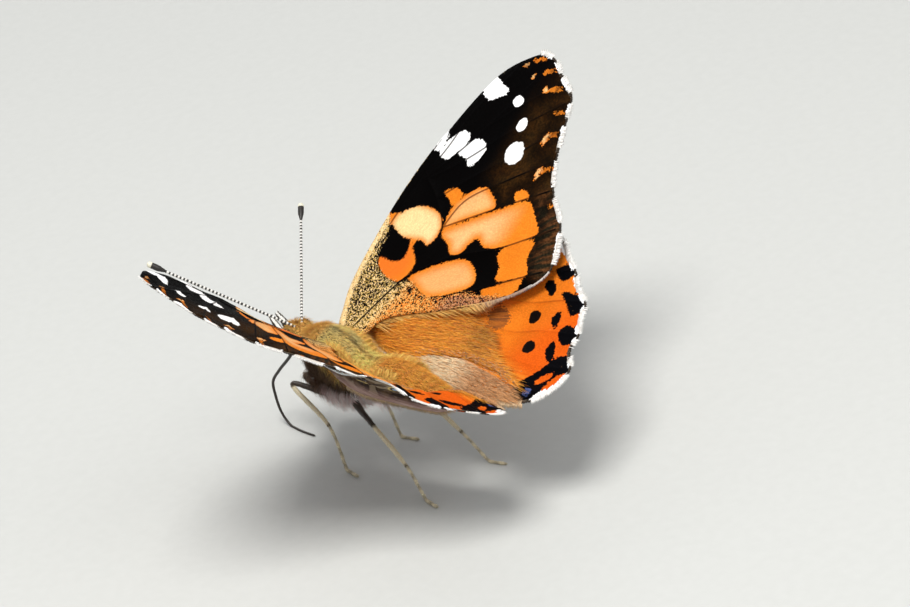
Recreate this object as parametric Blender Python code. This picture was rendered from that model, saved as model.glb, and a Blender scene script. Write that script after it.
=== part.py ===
"""Painted lady butterfly at life size, standing with its wings held in a V.

The shapes are worked out in the butterfly's own frame, in millimetres: forward to the head,
left, and up, from the middle of the line that joins the two wing roots. place() pitches that
frame and sets it on its feet: +X is the butterfly's left, -Y the way it faces, +Z up, and the
feet stand on z = 0.
"""
import math

import bmesh
import bpy
from mathutils import Vector, geometry

MM = 0.001

# How the butterfly stands: the wing roots' pitch and height over the floor, and the shift that
# puts the middle of its whole length at y = 0.
PITCH = math.radians(12.7)
ROOT_HEIGHT = 12.4
SHIFT_BACK = -4.95

# Gap that neighbouring pieces keep
GAP = 0.3

# Wings. A wing's outline and veins are given as (forward, outward) from its root.
WING_RISE = math.radians(41.6)
ROOT_HALF_GAP = 2.2
WING_HALF_THICKNESS = 0.25
VEIN_HEIGHT = 0.1
VEIN_HALF_WIDTH = 0.34
MARGIN_STEP = 1.0
VEIN_STEP = 2.4
MEMBRANE_STEP = 4.0
VEIN_END_GAP = 0.7

# Inward of this line the hindwing bends down beside the abdomen. The left hindwing is drawn a
# little further forward than the right one.
HINDWING_FOLD = 0.8
HINDWING_TURN = {"left": math.radians(3.2), "right": 0.0}
FLAT_TO_ROOT = -9.0

# How much lower the front edge of each forewing is held near its root
FOREWING_DROOP = {"left": 1.1, "right": 0.0}

# How much each forewing's outer half is twisted, rear edge down, per 10 mm behind its long axis
FOREWING_TWIST = {"left": 1.3, "right": 0.0}

# Body, as half sizes along forward, left and up
THORAX_CENTRE = Vector((-0.2, 0.0, -3.1))
THORAX_HALF = Vector((4.6, 2.6, 3.7))
HEAD_CENTRE = Vector((5.3, 0.0, -3.0))
HEAD_HALF = Vector((1.35, 1.15, 1.4))
EYE_CENTRE = Vector((5.7, 1.2, -3.05))
EYE_HALF = Vector((0.95, 0.72, 1.05))

# Abdomen
ABDOMEN_FRONT = -3.2
ABDOMEN_LENGTH = 12.3
ABDOMEN_FRONT_UP = -2.3
ABDOMEN_SLOPE = 0.17
ABDOMEN_HALF_WIDTH = 1.85
ABDOMEN_HALF_HEIGHT = 2.0
ABDOMEN_SEGMENTS = 8
SEGMENT_RELIEF = 0.03

# Limbs and feelers, as thicknesses
COXA_THICKNESS = 1.5
FEMUR_THICKNESS = 0.8
TIBIA_THICKNESS = 0.6
TARSUS_THICKNESS = 0.5
TARSUS_AXIS_HEIGHT = 0.15
SHAFT_THICKNESS = 0.5
CLUB_THICKNESS = 0.68
PROBOSCIS_THICKNESS = 0.56
PROBOSCIS_AXIS_HEIGHT = 0.16
PALP_THICKNESS = 0.75

# Outlines and veins of the wings, in the order in which the margin runs
FOREWING_MARGIN = [
    (1.2, -1.5), (2.2, 0.6), (2.85, 3.0), (3.1, 6.9), (3.1, 12.9), (2.3, 19.1), (0.8, 25.4), (-1.0, 28.3),
    (-2.8, 29.9), (-4.5, 29.75), (-6.1, 28.8), (-8.2, 27.5), (-9.1, 25.6), (-10.4, 22.0), (-12.1, 19.0),
    (-14.8, 16.5), (-16.3, 12.9), (-15.4, 10.2), (-12.6, 7.3), (-7.5, 4.1), (-3.2, 1.4), (-1.6, -1.5),
]
FOREWING_VEINS = {
    "subcosta": [(1.2, -0.6), (2.4, 4.0), (2.7, 9.0), (2.5, 14.0), (2.0, 18.5)],
    "radius": [(0.6, -0.6), (1.6, 4.0), (2.1, 9.0), (1.6, 14.0), (0.9, 18.0), (0.4, 22.0), (-1.4, 27.4)],
    "radius_branch": [(1.6, 14.0), (-0.4, 18.0), (-1.8, 21.4), (-3.3, 25.6), (-4.5, 29.2)],
    "radius_end": [(-1.8, 21.4), (-4.0, 24.6), (-6.6, 28.0)],
    "media_first": [(1.0, 14.6), (-1.6, 17.8), (-4.4, 22.0), (-8.0, 26.4)],
    "media_second": [(-1.0, 13.4), (-3.4, 16.8), (-6.4, 20.6), (-9.2, 24.4)],
    "media_third": [(-3.2, 11.3), (-4.0, 14.6), (-7.0, 18.0), (-10.4, 21.4)],
    "cubitus": [(-0.2, -0.6), (-2.1, 4.9), (-3.1, 6.7), (-3.3, 9.0), (-3.2, 11.3), (-1.0, 13.4), (1.0, 14.6)],
    "cubitus_first": [(-3.2, 11.3), (-7.4, 15.1), (-11.8, 18.8)],
    "cubitus_second": [(-3.1, 6.7), (-6.0, 9.5), (-10.2, 12.2), (-14.4, 15.9)],
    "anal": [(-0.9, -0.6), (-4.4, 3.4), (-10.0, 7.6), (-15.6, 12.0)],
}
HINDWING_MARGIN = [
    (-0.2, -1.1), (-0.3, 1.6), (-2.6, 6.4), (-6.4, 11.4), (-10.9, 14.9), (-14.6, 15.6), (-16.4, 14.5),
    (-18.6, 13.6), (-20.0, 12.3), (-21.6, 11.4), (-22.2, 10.0), (-23.3, 8.5), (-23.7, 7.0), (-25.2, 5.4),
    (-25.0, 3.3), (-23.5, 1.1), (-21.2, -0.1), (-18.6, -0.9), (-14.5, -2.2), (-9.5, -2.3), (-6.3, -2.4),
    (-4.6, -2.2), (-3.2, -1.9), (-1.8, -1.3),
]
HINDWING_VEINS = {
    "subcosta": [(-1.9, -0.4), (-2.6, 3.0), (-6.0, 8.4), (-10.3, 12.6), (-13.8, 14.9)],
    "radius": [(-2.6, 3.0), (-7.0, 6.6), (-12.2, 11.0), (-17.8, 13.4)],
    "media_first": [(-7.0, 6.6), (-9.5, 7.0), (-13.6, 8.6), (-20.8, 11.2)],
    "media_third": [(-8.4, 4.6), (-14.0, 5.8), (-22.5, 8.3)],
    "cubitus": [(-2.1, -0.4), (-5.0, 2.0), (-8.4, 4.6), (-9.5, 7.0)],
    "cubitus_first": [(-6.7, 3.3), (-12.6, 3.8), (-19.6, 4.0), (-24.1, 5.1)],
    "cubitus_second": [(-5.0, 2.0), (-11.8, 2.0), (-18.2, 1.9), (-23.4, 2.2)],
}

# Legs, as (forward, left, up) on the left side. The two last numbers of a standing leg are the
# forward and left places where its foot ends.
MIDLEG = [(-0.6, 1.2, -5.0), (0.2, 1.7, -6.0), (3.1, 3.0, -5.9), (-1.9, 3.3, -7.9)]
MIDLEG_HEEL = (-4.3, 3.5)
MIDLEG_TOE = (-6.2, 3.9)
HINDLEG = [(-3.2, 1.2, -4.6), (-3.9, 1.6, -5.4), (-7.5, 3.0, -5.2), (-12.2, 3.5, -7.1)]
HINDLEG_HEEL = (-15.2, 4.0)
HINDLEG_TOE = (-17.0, 4.4)
FORELEG = [(1.9, 0.8, -4.7), (2.7, 1.0, -5.6), (3.3, 1.2, -5.95), (1.7, 1.3, -6.55)]

# Feelers, palps and proboscis
ANTENNA_ROOT = Vector((5.2, 0.4, -1.75))
ANTENNA_TIPS = {"left": Vector((17.0, 7.6, 3.4)), "right": Vector((14.5, -9.4, 2.8))}
CLUB_LENGTH = 2.2
PALP = [(6.1, 0.48, -3.7), (7.1, 0.5, -3.3), (7.8, 0.45, -2.75), (8.5, 0.38, -2.2)]
PROBOSCIS = [(5.6, -3.6), (6.1, -4.7), (6.7, -6.1), (8.2, -8.3), (9.2, -10.1), (9.0, -11.6), (8.3, -13.2)]
PROBOSCIS_FLOOR = [(7.0, 0.0), (5.2, 0.25), (3.4, 0.3)]

COLOURS = {
    "orange_scales": (0.86, 0.30, 0.05),
    "tawny_hair": (0.42, 0.24, 0.09),
    "dark_horn": (0.03, 0.025, 0.02),
    "eye_brown": (0.09, 0.05, 0.03),
    "leg_cream": (0.55, 0.45, 0.30),
}


def clear_scene():
    for thing in list(bpy.data.objects):
        bpy.data.objects.remove(thing, do_unlink=True)


def new_collection(name):
    collection = bpy.data.collections.new(name)
    bpy.context.scene.collection.children.link(collection)
    return collection


def material(name, roughness=0.7):
    found = bpy.data.materials.get(name)
    if found:
        return found
    made = bpy.data.materials.new(name)
    made.use_nodes = True
    shader = made.node_tree.nodes["Principled BSDF"]
    shader.inputs["Base Color"].default_value = (*COLOURS[name], 1.0)
    shader.inputs["Roughness"].default_value = roughness
    shader.inputs["Metallic"].default_value = 0.0
    return made


def place(forward, left, up):
    """World point, in metres, of a point of the butterfly's own frame."""
    ahead = forward * math.cos(PITCH) - up * math.sin(PITCH)
    height = forward * math.sin(PITCH) + up * math.cos(PITCH) + ROOT_HEIGHT
    return Vector((left, SHIFT_BACK - ahead, height)) * MM


def up_at_height(forward, height):
    """Up coordinate that puts a point this high over the floor."""
    return (height - ROOT_HEIGHT - forward * math.sin(PITCH)) / math.cos(PITCH)


def ease(value):
    value = min(max(value, 0.0), 1.0)
    return value * value * (3.0 - 2.0 * value)


def smooth_path(points, step, closed=False):
    """Points about a step apart on a smooth curve through the given points."""
    points = [Vector(p) for p in points]
    count = len(points)
    spans = count if closed else count - 1
    path = []
    for i in range(spans):
        if closed:
            before, start, end, after = (points[(i + k) % count] for k in (-1, 0, 1, 2))
        else:
            start, end = points[i], points[i + 1]
            before = points[i - 1] if i else start * 2.0 - end
            after = points[i + 2] if i + 2 < count else end * 2.0 - start
        cuts = max(1, round((end - start).length / step))
        for k in range(cuts):
            t = k / cuts
            path.append(0.5 * (2.0 * start + (end - before) * t
                               + (2.0 * before - 5.0 * start + 4.0 * end - after) * t * t
                               + (3.0 * start - before - 3.0 * end + after) * t * t * t))
    if not closed:
        path.append(points[-1])
    return path


def link_mesh(name, mesh, collection, colour=None):
    made = bpy.data.objects.new(name, mesh)
    collection.objects.link(made)
    if colour:
        mesh.materials.append(material(colour))
        mesh.shade_smooth()
    return made


def cut_by(piece, cutters):
    for cutter in cutters:
        cut = piece.modifiers.new("clear_of_" + cutter.name, "BOOLEAN")
        cut.operation = "DIFFERENCE"
        cut.solver = "EXACT"
        cut.object = cutter


# Round forms of the body

def round_body(name, shape, rings, sides, collection, colour=None):
    """Closed round form: shape(along, left, up) moves each point of a unit ball, poles fore and aft."""
    mesh_build = bmesh.new()
    bmesh.ops.create_uvsphere(mesh_build, u_segments=sides, v_segments=rings, radius=1.0)
    for vertex in mesh_build.verts:
        x, y, z = vertex.co
        vertex.co = place(*shape(z, x, y))
    bmesh.ops.recalc_face_normals(mesh_build, faces=mesh_build.faces)
    mesh = bpy.data.meshes.new(name)
    mesh_build.to_mesh(mesh)
    mesh_build.free()
    return link_mesh(name, mesh, collection, colour)


def ellipsoid(centre, half, grow=0.0, side=1.0):
    def shape(along, left, up):
        return (centre.x + (half.x + grow) * along,
                side * centre.y + (half.y + grow) * left,
                centre.z + (half.z + grow) * up)
    return shape


def thorax_shape(grow=0.0):
    """An egg, deeper below than above, a little narrower towards the head."""
    def shape(along, left, up):
        narrow = 1.0 - 0.08 * along
        return (THORAX_CENTRE.x + (THORAX_HALF.x + grow) * along,
                (THORAX_HALF.y * narrow + grow) * left,
                THORAX_CENTRE.z + (THORAX_HALF.z * narrow + grow) * up)
    return shape


def abdomen_shape(grow=0.0):
    """A spindle with shallow rings, thickest a third of the way along, drawn to a blunt tail."""
    def shape(along, left, up):
        share = 0.5 - 0.5 * along
        forward = ABDOMEN_FRONT - ABDOMEN_LENGTH * share - grow * (-along)
        round_size = math.hypot(left, up)
        full = math.sqrt(max(0.0, 1.0 - along * along))
        taper = (1.0 - 0.34 * ease((share - 0.35) / 0.65)) * (0.88 + 0.12 * ease(share / 0.35))
        rings = 1.0 - SEGMENT_RELIEF * (0.5 + 0.5 * math.cos(share * ABDOMEN_SEGMENTS * math.tau))
        middle = ABDOMEN_FRONT_UP + ABDOMEN_SLOPE * (ABDOMEN_FRONT - forward)
        swell = full ** 0.75 / full if full > 1e-6 else 1.0
        size = taper * rings * swell if round_size > 1e-9 else 0.0
        return (forward,
                (ABDOMEN_HALF_WIDTH * size + grow) * left,
                middle + (ABDOMEN_HALF_HEIGHT * size + grow) * up)
    return shape


# Wings

def forewing_lift(forward, outward):
    """Height over the flat wing: the rear of the forewing turns up a little."""
    return 0.35 * ease((-forward - 6.0) / 8.0)


def front_edge(forward, outward):
    """One along the front edge near the root, fading to nothing behind it and half way out."""
    return ease((forward + 0.4) / 3.4) * (1.0 - ease((outward - 2.0) / 11.0))


def outer_twist(forward, outward):
    """Height by which a twist of the outer half lowers what lies behind the wing's long axis."""
    return (-forward - 2.0) / 10.0 * ease((outward - 14.5) / 8.0)


def hindwing_lift(forward, outward):
    """The hindwing lies under the forewing, turns up behind it and climbs to its tail."""
    behind_forewing = -0.66 * (forward + 3.2) - 0.752 * (outward - 1.4)
    return -1.1 + 1.5 * ease((-forward - 15.0) / 4.5) + 3.0 * ease((behind_forewing - 2.5) / 13.0)


def wing_place(side, forward, outward, lift, fold, off_sheet):
    """World point at a height over or under the wing's sheet, which bends upright past the fold."""
    run, rise = math.cos(WING_RISE), math.sin(WING_RISE)
    past = max(0.0, fold - outward)
    level = math.exp(-past)
    if past > 0.0:
        outward = fold - rise * past - (1.0 - rise) * (1.0 - level)
        lift -= run * (past - 1.0 + level)
    normal = Vector((-run * (1.0 - level), rise + (1.0 - rise) * level)).normalized()
    outward += off_sheet * normal.x
    lift += off_sheet * normal.y
    left = side * (ROOT_HALF_GAP + outward * run - lift * rise)
    return place(forward, left, outward * rise + lift * run)


def distance_to_path(point, path):
    nearest = math.inf
    for start, end in zip(path, path[1:]):
        span = end - start
        t = min(max((point - start).dot(span) / span.length_squared, 0.0), 1.0)
        nearest = min(nearest, (point - start - span * t).length)
    return nearest


def inside(point, loop):
    found = False
    for start, end in zip(loop, loop[1:] + loop[:1]):
        if (start.y > point.y) != (end.y > point.y):
            crossing = start.x + (point.y - start.y) / (end.y - start.y) * (end.x - start.x)
            found ^= point.x < crossing
    return found


def wing_lines(margin, vein_paths):
    """Points and edges that the wing's triangles keep: the margin, and each vein's crest and feet."""
    points = list(margin)
    edges = [(i, (i + 1) % len(margin)) for i in range(len(margin))]
    closed_margin = margin + margin[:1]
    for path in vein_paths:
        for offset in (-VEIN_HALF_WIDTH, 0.0, VEIN_HALF_WIDTH):
            last = None
            for i, point in enumerate(path):
                span = path[min(i + 1, len(path) - 1)] - path[max(i - 1, 0)]
                across = Vector((-span.y, span.x)).normalized()
                moved = point + across * offset
                clear = inside(moved, margin)
                clear = clear and distance_to_path(moved, closed_margin) > 0.5 * VEIN_END_GAP
                if not clear:
                    last = None
                    continue
                points.append(moved)
                if last is not None:
                    edges.append((last, len(points) - 1))
                last = len(points) - 1
    reach = int(32.0 / MEMBRANE_STEP)
    for i in range(-reach, reach):
        for k in range(reach + 1):
            point = Vector(((i + 0.5 * (k % 2)) * MEMBRANE_STEP, k * MEMBRANE_STEP))
            if not inside(point, margin) or distance_to_path(point, closed_margin) < 1.0:
                continue
            if min(distance_to_path(point, path) for path in vein_paths) > 1.2:
                points.append(point)
    return points, edges


def wing(name, side, margin_points, veins, lift_at, fold, turn, droop, twist, collection):
    """Thin closed wing with the same triangles on both faces, its veins raised on both."""
    margin = smooth_path(margin_points, MARGIN_STEP, closed=True)
    vein_paths = [smooth_path(path, VEIN_STEP) for path in veins.values()]
    points, edges = wing_lines(margin, vein_paths)
    flat, _, faces, *_ = geometry.delaunay_2d_cdt(points, edges, [], 1, 0.01)
    mesh_build = bmesh.new()
    sheets = {}
    for face_side in (1.0, -1.0):
        sheet = []
        for point in flat:
            near = min(distance_to_path(point, path) for path in vein_paths)
            crest = VEIN_HEIGHT * max(0.0, 1.0 - near / VEIN_HALF_WIDTH)
            forward = point.x * math.cos(turn) + point.y * math.sin(turn)
            outward = point.y * math.cos(turn) - point.x * math.sin(turn)
            off_sheet = face_side * (WING_HALF_THICKNESS + crest)
            lift = lift_at(forward, outward) - droop * front_edge(forward, outward)
            lift -= twist * outer_twist(forward, outward)
            spot = wing_place(side, forward, outward, lift, fold, off_sheet)
            sheet.append(mesh_build.verts.new(spot))
        sheets[face_side] = sheet
    uses = {}
    for face in faces:
        for i, corner in enumerate(face):
            edge = (corner, face[(i + 1) % len(face)])
            uses.setdefault(tuple(sorted(edge)), []).append(edge)
        mesh_build.faces.new([sheets[1.0][i] for i in face])
        mesh_build.faces.new([sheets[-1.0][i] for i in reversed(face)])
    for found in uses.values():
        if len(found) == 1:
            start, end = found[0]
            top, under = sheets[1.0], sheets[-1.0]
            mesh_build.faces.new((top[end], top[start], under[start], under[end]))
    loose = [v for v in mesh_build.verts if not v.link_faces]
    bmesh.ops.delete(mesh_build, geom=loose, context="VERTS")
    bmesh.ops.recalc_face_normals(mesh_build, faces=mesh_build.faces)
    mesh = bpy.data.meshes.new(name)
    mesh_build.to_mesh(mesh)
    mesh_build.free()
    made = link_mesh(name, mesh, collection, "orange_scales")
    mesh.set_sharp_from_angle(angle=math.radians(40))
    return made


# Limbs, feelers and the other thin round pieces

def tube(name, points, thicknesses, collection, colour, resolution=2):
    """Round tapering piece along points of the butterfly's frame, flat where it meets the floor."""
    curve = bpy.data.curves.new(name + "_path", "CURVE")
    curve.dimensions = "3D"
    curve.bevel_depth = 0.5 * MM
    curve.bevel_resolution = resolution
    curve.use_fill_caps = True
    spline = curve.splines.new("POLY")
    spline.points.add(len(points) - 1)
    for node, point, thickness in zip(spline.points, points, thicknesses):
        node.co = (*place(*point), 1.0)
        node.radius = thickness
    drawn = bpy.data.objects.new(name + "_path", curve)
    collection.objects.link(drawn)
    evaluated = drawn.evaluated_get(bpy.context.evaluated_depsgraph_get())
    mesh = bpy.data.meshes.new_from_object(evaluated)
    mesh.name = name
    mesh_build = bmesh.new()
    mesh_build.from_mesh(mesh)
    bmesh.ops.remove_doubles(mesh_build, verts=mesh_build.verts, dist=1e-6)
    for vertex in mesh_build.verts:
        vertex.co.z = max(vertex.co.z, 0.0)
    bmesh.ops.recalc_face_normals(mesh_build, faces=mesh_build.faces)
    mesh_build.to_mesh(mesh)
    mesh_build.free()
    mesh.materials.clear()
    made = link_mesh(name, mesh, collection, colour)
    made.matrix_world = drawn.matrix_world
    bpy.data.objects.remove(drawn, do_unlink=True)
    return made


def spread(values, count):
    """Values set evenly along a path, read between at count places."""
    out = []
    for i in range(count):
        at = i / (count - 1) * (len(values) - 1)
        low = min(int(at), len(values) - 2)
        out.append(values[low] + (values[low + 1] - values[low]) * (at - low))
    return out


def mirrored(points, side):
    return [(p[0], side * p[1], p[2]) for p in points]


def leg(name, side, bends, heel, toe, collection):
    """Femur, tibia and tarsus in one piece, standing on the flat under its tarsus."""
    points = list(bends)
    if heel:
        middle = ((heel[0] + toe[0]) / 2.0, (heel[1] + toe[1]) / 2.0)
        for forward, left in (heel, middle, toe):
            points.append((forward, left, up_at_height(forward, TARSUS_AXIS_HEIGHT)))
        shape = [COXA_THICKNESS, FEMUR_THICKNESS, FEMUR_THICKNESS, TIBIA_THICKNESS, TIBIA_THICKNESS]
        shape += [TARSUS_THICKNESS] * 4
    else:
        shape = [COXA_THICKNESS, FEMUR_THICKNESS, TIBIA_THICKNESS, 0.8 * TIBIA_THICKNESS]
    path = smooth_path(mirrored(points, side), 0.85)
    for i, point in enumerate(path):
        lowest = up_at_height(point.x, TARSUS_AXIS_HEIGHT)
        path[i] = (point.x, point.y, max(point.z, lowest))
    return tube(name, path, spread(shape, len(path)), collection, "leg_cream")


def antenna(name, side, tip, collection):
    """Straight feeler with a club at its tip."""
    root = Vector((ANTENNA_ROOT.x, side * ANTENNA_ROOT.y, ANTENNA_ROOT.z))
    length = (tip - root).length
    club = 1.0 - CLUB_LENGTH / length
    stops = [0.0, 0.2, 0.4, 0.6, club - 0.04, club + 0.04, club + 0.09, 0.95, 0.985, 1.0]
    swell = CLUB_THICKNESS / SHAFT_THICKNESS
    sizes = [1.0, 1.0, 0.95, 0.95, 1.0, 0.5 + 0.5 * swell, swell, swell, 0.75 * swell, 0.4 * swell]
    points = [tuple(root.lerp(tip, stop)) for stop in stops]
    return tube(name, points, [SHAFT_THICKNESS * s for s in sizes], collection, "dark_horn")


def palp(name, side, collection):
    path = smooth_path(mirrored(PALP, side), 0.7)
    sizes = spread([0.9, 1.0, 0.8, 0.35], len(path))
    return tube(name, path, [PALP_THICKNESS * s for s in sizes], collection, "leg_cream")


def proboscis(collection):
    """Uncoiled tongue: down from the mouth, a bend like a knee, then laid on the floor."""
    points = [(forward, 0.0, up) for forward, up in PROBOSCIS]
    for forward, left in PROBOSCIS_FLOOR:
        points.append((forward, left, up_at_height(forward, PROBOSCIS_AXIS_HEIGHT)))
    path = smooth_path(points, 0.8)
    for i, point in enumerate(path):
        lowest = up_at_height(point.x, PROBOSCIS_AXIS_HEIGHT)
        path[i] = (point.x, point.y, max(point.z, lowest))
    sizes = spread([1.0, 1.0, 0.95, 0.9, 0.85, 0.7], len(path))
    thicknesses = [PROBOSCIS_THICKNESS * s for s in sizes]
    return tube("proboscis", path, thicknesses, collection, "dark_horn")


def build():
    clear_scene()
    pieces = new_collection("painted_lady")
    cutters = new_collection("cutters")

    round_body("thorax", thorax_shape(), 16, 26, pieces, "tawny_hair")
    thorax_room = round_body("thorax_room", thorax_shape(GAP), 16, 26, cutters)
    head_shape = ellipsoid(HEAD_CENTRE, HEAD_HALF)
    head = round_body("head", head_shape, 14, 20, pieces, "tawny_hair")
    head_room = round_body("head_room", ellipsoid(HEAD_CENTRE, HEAD_HALF, GAP), 14, 20, cutters)
    cut_by(head, [thorax_room])
    abdomen = round_body("abdomen", abdomen_shape(), 26, 18, pieces, "tawny_hair")
    cut_by(abdomen, [thorax_room])

    for side, word in ((1.0, "left"), (-1.0, "right")):
        eye_shape = ellipsoid(EYE_CENTRE, EYE_HALF, side=side)
        eye = round_body("eye_" + word, eye_shape, 12, 16, pieces, "eye_brown")
        cut_by(eye, [head_room])
        cut_by(palp("palp_" + word, side, pieces), [head_room])
        cut_by(antenna("antenna_" + word, side, ANTENNA_TIPS[word], pieces), [head_room])
        fore = wing("forewing_" + word, side, FOREWING_MARGIN, FOREWING_VEINS, forewing_lift,
                    FLAT_TO_ROOT, 0.0, FOREWING_DROOP[word], FOREWING_TWIST[word], pieces)
        hind = wing("hindwing_" + word, side, HINDWING_MARGIN, HINDWING_VEINS, hindwing_lift,
                    HINDWING_FOLD, HINDWING_TURN[word], 0.0, 0.0, pieces)
        foreleg = leg("foreleg_" + word, side, FORELEG, None, None, pieces)
        midleg = leg("midleg_" + word, side, MIDLEG, MIDLEG_HEEL, MIDLEG_TOE, pieces)
        hindleg = leg("hindleg_" + word, side, HINDLEG, HINDLEG_HEEL, HINDLEG_TOE, pieces)
        for piece in (fore, hind, foreleg, midleg, hindleg):
            cut_by(piece, [thorax_room])
    cut_by(proboscis(pieces), [head_room])

    for cutter in cutters.objects:
        cutter.hide_render = True
        cutter.display_type = "WIRE"


build()
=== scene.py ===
"""Looks of the painted lady butterfly: scaled wings, furred body, ringed feelers and jointed legs.

Shapes are worked out in the butterfly's own frame, in millimetres (forward, left, up), and set in
the row frame by place(), which pitches the frame and lifts it on to its feet.
"""
import math

import bmesh
import bpy
import numpy as np
from mathutils import Matrix, Vector, geometry


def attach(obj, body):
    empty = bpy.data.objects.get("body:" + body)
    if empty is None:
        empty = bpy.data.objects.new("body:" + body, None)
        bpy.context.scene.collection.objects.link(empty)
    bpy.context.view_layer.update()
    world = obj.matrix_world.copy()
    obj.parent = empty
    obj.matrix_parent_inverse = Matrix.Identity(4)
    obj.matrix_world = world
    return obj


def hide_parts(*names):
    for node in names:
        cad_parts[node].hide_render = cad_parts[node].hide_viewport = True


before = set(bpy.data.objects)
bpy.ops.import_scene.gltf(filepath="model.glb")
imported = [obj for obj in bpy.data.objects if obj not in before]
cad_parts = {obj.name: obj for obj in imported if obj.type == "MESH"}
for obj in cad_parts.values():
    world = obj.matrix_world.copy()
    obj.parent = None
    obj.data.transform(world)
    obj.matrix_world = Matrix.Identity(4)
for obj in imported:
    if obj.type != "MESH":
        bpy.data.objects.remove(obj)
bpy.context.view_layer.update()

MM = 0.001
RANDOM = np.random.default_rng(41)

# Stance, as in the solids
PITCH = math.radians(12.7)
ROOT_HEIGHT = 12.4
SHIFT_BACK = -4.95
WING_RISE = math.radians(41.6)
ROOT_HALF_GAP = 2.2
HINDWING_FOLD = 0.8
HINDWING_TURN = {"left": math.radians(3.2), "right": 0.0}
FLAT_TO_ROOT = -9.0
FOREWING_DROOP = {"left": 1.1, "right": 0.0}
FOREWING_TWIST = {"left": 1.3, "right": 0.0}

# Wing sheet
SHEET_HALF = 0.045
VEIN_RELIEF = 0.07
VEIN_HALF_WIDTH = 0.2
MEMBRANE_SAG = 0.16
SAG_REACH = 1.6
GRID_STEP = 0.42
PATH_STEP = 0.42
FRINGE_INSET = 0.32
FRINGE_STEP = 0.06
FRINGE_LAYERS = 2
FRINGE_WIDTH = 0.14
FRINGE_WHITE = np.array((0.93, 0.92, 0.89))
FRINGE_BLACK = np.array((0.02, 0.014, 0.012))
# Values of a mark's depth where the mark is nowhere near, and spans of the wings' unwrap
FAR_OUTSIDE = -5.0
BAKE_FORWARD_SPAN = 64.0
BAKE_OUTWARD_SPAN = 34.0

# Body, as half sizes along forward, left and up, and how deep the skin lies in the coat
THORAX_CENTRE = np.array((-0.2, 0.0, -3.1))
THORAX_HALF = np.array((4.6, 2.6, 3.7))
HEAD_CENTRE = np.array((5.3, 0.0, -3.0))
HEAD_HALF = np.array((1.35, 1.15, 1.4))
EYE_CENTRE = np.array((5.7, 1.2, -3.05))
EYE_HALF = np.array((0.95, 0.72, 1.05))
ABDOMEN_FRONT = -3.2
ABDOMEN_LENGTH = 12.3
ABDOMEN_FRONT_UP = -2.3
ABDOMEN_SLOPE = 0.17
ABDOMEN_HALF_WIDTH = 1.85
ABDOMEN_HALF_HEIGHT = 2.0
ABDOMEN_SEGMENTS = 8
THORAX_COAT = 0.6
HEAD_COAT = 0.3
ABDOMEN_COAT = 0.25
SKIN_VOXEL = 0.12
HAIR_SINK = 0.06

# Limbs and feelers
MIDLEG = [(-0.6, 1.2, -5.0), (0.2, 1.7, -6.0), (3.1, 3.0, -5.9), (-1.9, 3.3, -7.9)]
MIDLEG_FOOT = [(-4.3, 3.5), (-6.2, 3.9)]
HINDLEG = [(-3.2, 1.2, -4.6), (-3.9, 1.6, -5.4), (-7.5, 3.0, -5.2), (-12.2, 3.5, -7.1)]
HINDLEG_FOOT = [(-15.2, 4.0), (-17.0, 4.4)]
FORELEG = [(1.9, 0.8, -4.7), (2.7, 1.0, -5.6), (3.3, 1.2, -5.95), (1.7, 1.3, -6.55)]
ANTENNA_ROOT = np.array((5.2, 0.4, -1.75))
ANTENNA_TIPS = {"left": np.array((17.0, 7.6, 3.4)), "right": np.array((14.5, -9.4, 2.8))}
PALP = [(6.1, 0.48, -3.7), (7.1, 0.5, -3.3), (7.8, 0.45, -2.75), (8.5, 0.38, -2.2)]
PROBOSCIS = [(5.6, -3.6), (6.1, -4.7), (6.7, -6.1), (8.2, -8.3), (9.2, -10.1), (9.0, -11.6), (8.3, -13.2)]
PROBOSCIS_FLOOR = [(7.0, 0.0), (5.2, 0.25), (3.4, 0.3)]
LIMB_SIDES = 12
ANTENNA_RING = 0.36
ANTENNA_CLUB = 2.0
PALP_SCALES = 2200
LEG_DARK = np.array((0.04, 0.028, 0.02))
LEG_CREAM = np.array((0.95, 0.82, 0.56))
LEG_TAN = np.array((0.45, 0.33, 0.20))

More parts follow.
